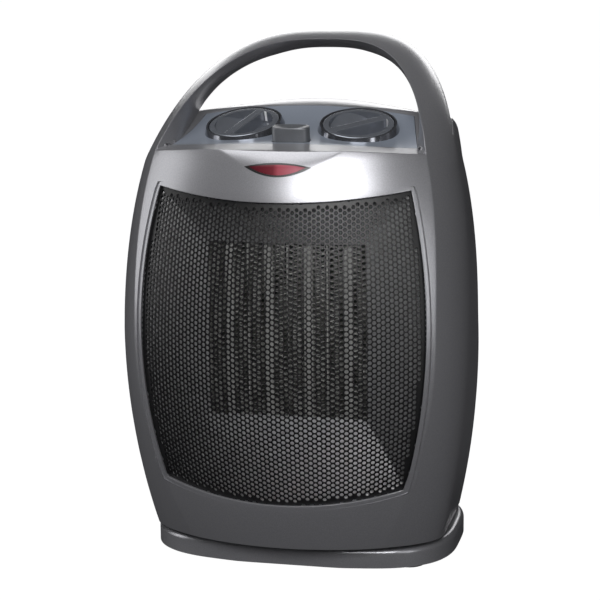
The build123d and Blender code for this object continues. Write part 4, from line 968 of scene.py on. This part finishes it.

# ---------------------------------------------------------------------------
# Grille.  Perforated steel sheet, satin black, behind the window: round holes in
# staggered upright rows. A plain strip without holes along the edge stands in for the shade seen behind the
# holes there.
# ---------------------------------------------------------------------------
# Steel sheet, powder coated
black_steel = finish("black_coated_steel", "#0a0a0b", "#131315", metallic=0.2, roughness=0.42,
                     grain=0.3, bump=0.05)
hole_pitch, hole_radius = 2.5, 1.0
grille_back, sheet_thickness = 1.5, 0.8
# The strip without holes along the window's edge is a dark sheet standing in for painted shade behind the
# holes
shade_strip_edge, tucked_edge = 2.2, 0.4
columns_each_way, rows_of_holes, lowest_row_z = 36, 61, 37.0
side_centre, side_bend = circle_of(*window_side)
head_centre, head_bend = circle_of(*window_head)
sill_centre, sill_bend = circle_of(*window_sill)


def inside_window(x, z, margin):
    """True where a point of the front view lies inside the window by a margin."""
    side = side_centre[0] + np.sqrt(side_bend**2 - (z - side_centre[1]) ** 2)
    head = head_centre[1] - np.sqrt(head_bend**2 - (x - head_centre[0]) ** 2)
    sill = sill_centre[1] - np.sqrt(sill_bend**2 - (x - sill_centre[0]) ** 2)
    return (np.abs(x) < side - margin) & (z < head - margin) & (z > sill + margin)


column_s = np.arange(-columns_each_way, columns_each_way + 1) * hole_pitch * math.sqrt(3) / 2
row_z = lowest_row_z + np.arange(rows_of_holes) * hole_pitch
cell_s, cell_z = np.meshgrid(column_s, row_z, indexing="ij")
cell_z = cell_z + np.where(np.arange(len(column_s)) % 2 == 1, hole_pitch / 2, 0)[:, None]
cell_s, cell_z = cell_s.ravel(), cell_z.ravel()


def on_sheet(s, z):
    """Sheet in millimetres: an arc length s round the axis and a height z."""
    plan = face_plan(z) - grille_back
    turn = s / (face_radius - grille_back)
    return grid3(plan * np.sin(turn), face_axis_y - plan * np.cos(turn), z)


cell_x = np.abs(on_sheet(cell_s, cell_z)[:, 0])
holed = inside_window(cell_x, cell_z, shade_strip_edge)
plain = inside_window(cell_x, cell_z, -tucked_edge) & ~holed
cell_points = 12
point = np.arange(cell_points)
spoke = point * math.pi / 6
cell_edge = np.where(point % 2 == 0, hole_pitch / math.sqrt(3), hole_pitch / 2)


def sheet_half(name, keep):
    """Half of the sheet: each cell a hexagon with a round hole, or a whole hexagon; the whole ones along the
    edge stand in for shade.
    """
    outer_s = cell_s[:, None] + cell_edge * np.cos(spoke)
    outer_z = cell_z[:, None] + cell_edge * np.sin(spoke)
    outer = on_sheet(outer_s, outer_z)
    inner = on_sheet(cell_s[:, None] + hole_radius * np.cos(spoke),
                     cell_z[:, None] + hole_radius * np.sin(spoke))
    open_cells, shut_cells = np.flatnonzero(holed & keep), np.flatnonzero(plain & keep)
    rings = np.concatenate([outer[open_cells], inner[open_cells]], 1)
    first = np.arange(len(open_cells))[:, None, None] * 2 * cell_points
    following = (point + 1) % cell_points
    quads = first + np.stack([point, following, following + cell_points, point + cell_points], -1)
    caps = rings.size // 3 + np.arange(len(shut_cells) * cell_points).reshape(-1, cell_points)
    points = np.concatenate([rings.reshape(-1, 3), outer[shut_cells].reshape(-1, 3)]) / 1000
    data = bpy.data.meshes.new(name)
    data.from_pydata(points.tolist(), [], quads.reshape(-1, 4).tolist() + caps.tolist())
    made = link(name, clean(name, data, 0.00002, out=forwards))
    add_wall(made, sheet_thickness)
    fit_piece(settled(made), "grille", black_steel)


sheet_half("grille_left", cell_s < 0)
sheet_half("grille_right", cell_s >= 0)

# ---------------------------------------------------------------------------
# Outlet duct.  Four bright sheets folded from the window's edge back to the mouth
# in front of the heating core.
# ---------------------------------------------------------------------------
# Zinc coated steel sheet, bright
duct_sheet = finish("bright_zinc_sheet", "#a2a2a4", "#b8b8ba", metallic=0.3, roughness=0.45, grain=0.6,
                    stretch=(0.2, 0.2, 1.0))
mouth_half, mouth_low, mouth_high, mouth_y = 38.7, 75.0, 159.8, -42.0
duct_back, duct_thickness = 3.2, 0.8
inwards = np.linspace(0, 1, 12)


def funnel_grid(x, z, mouth_x, mouth_z):
    """Plate ruled from a line behind the window's edge to a straight line of the mouth."""
    y = face_y(x, z) + duct_back
    ends = grid3(mouth_x, mouth_y, mouth_z)
    lines = grid3(x, y, z)[:, None]
    return lines + (ends[:, None] - lines) * inwards[:, None]


count = len(window_x)
rows_up = np.linspace(mouth_low, mouth_high, count)
duct_grids = [funnel_grid(window_x, window_z, np.full(count, mouth_half), rows_up),
              funnel_grid(head_x, head_z, head_x / head_x[-1] * mouth_half, mouth_high),
              funnel_grid(sill_x, sill_z, sill_x / sill_x[-1] * mouth_half, mouth_low)]
duct = skin("outlet_funnel", duct_grids, duct_thickness)
fit_piece(duct, "outlet_duct", duct_sheet)

# ---------------------------------------------------------------------------
# Base.  A wide flat foot in the same lacquered ABS, that the heater swivels on.
# ---------------------------------------------------------------------------
smooth_copy("base_shell", "foot", lacquer)

# ---------------------------------------------------------------------------
# Inner parts and fastenings, seen through the grille, the slots or from below.
# They keep their CAD shape and only take a finish, by the slot in the record.
# ---------------------------------------------------------------------------
# Extruded aluminium of the heater, light and matt
core_aluminium = finish("matt_extruded_aluminium", "#b4b4b2", "#cacac8", metallic=0.5, roughness=0.5,
                        grain=0.8, stretch=(1.0, 1.0, 0.2))
# Heat-resistant polyamide, matt black
heat_plastic = finish("black_polyamide", "#17171a", "#232326", roughness=0.6, grain=0.6, bump=0.12)
# Brass of the core's terminals
brass = finish("plain_brass", "#a8854a", "#bd9a5c", metallic=1.0, roughness=0.3, grain=1.5)
# Phenolic case of the thermal cutout
phenolic = finish("brown_phenolic", "#2a1f1a", "#3a2c25", roughness=0.35, grain=1.2)
# Polypropylene of the fan shroud, foot cover and gland, matt black
black_plastic = finish("matt_black_polypropylene", "#0f0f10", "#1a1a1b", roughness=0.55, grain=0.7,
                       bump=0.10)
# Glass-filled nylon of the thermostat and switch bodies
switch_plastic = finish("dark_grey_nylon", "#26262a", "#323236", roughness=0.5, grain=0.8)
# Polypropylene of the impeller, mid grey
fan_plastic = finish("grey_polypropylene", "#303033", "#3e3e42", roughness=0.45, grain=2.0)
# Steel laminations of the fan motor, streaked across the stack
laminated = finish("laminated_steel", "#707072", "#8a8a8c", metallic=0.9, roughness=0.35, grain=0.5,
                   stretch=(0.05, 1.0, 0.05))
# Zinc plating of screws, spider and drive motor
zinc = finish("zinc_plated_steel", "#8c8e90", "#a8aaac", metallic=0.9, roughness=0.34, grain=3.0)
# Rubber of the feet
rubber = finish("black_rubber", "#0d0d0d", "#191919", roughness=0.8, grain=0.4, bump=0.15)
# Natural nylon of the glide pads and the crank
nylon = finish("natural_nylon", "#d6d4ca", "#e4e2da", roughness=0.4, grain=2.5)
# Glass of the neon lamp, amber
lamp_glass = finish("amber_lamp_glass", "#d08a60", "#dc9c70", roughness=0.08, grain=4.0,
                    **{"Transmission Weight": 0.7})
finish_of = {"core_aluminium": core_aluminium, "cap_plastic": heat_plastic,
             "terminal_brass": brass, "cutout_plastic": phenolic, "lamp_glass": lamp_glass,
             "black_plastic": black_plastic, "switch_plastic": switch_plastic, "fan_plastic": fan_plastic,
             "motor_steel": laminated, "spider_steel": zinc, "screw_steel": zinc, "pad_rubber": rubber,
             "glide_nylon": nylon, "cover_plastic": black_plastic}
for name, piece in frame["nodes"].items():
    if slot_of[name] in finish_of:
        piece.data.materials.clear()
        piece.data.materials.append(finish_of[slot_of[name]])
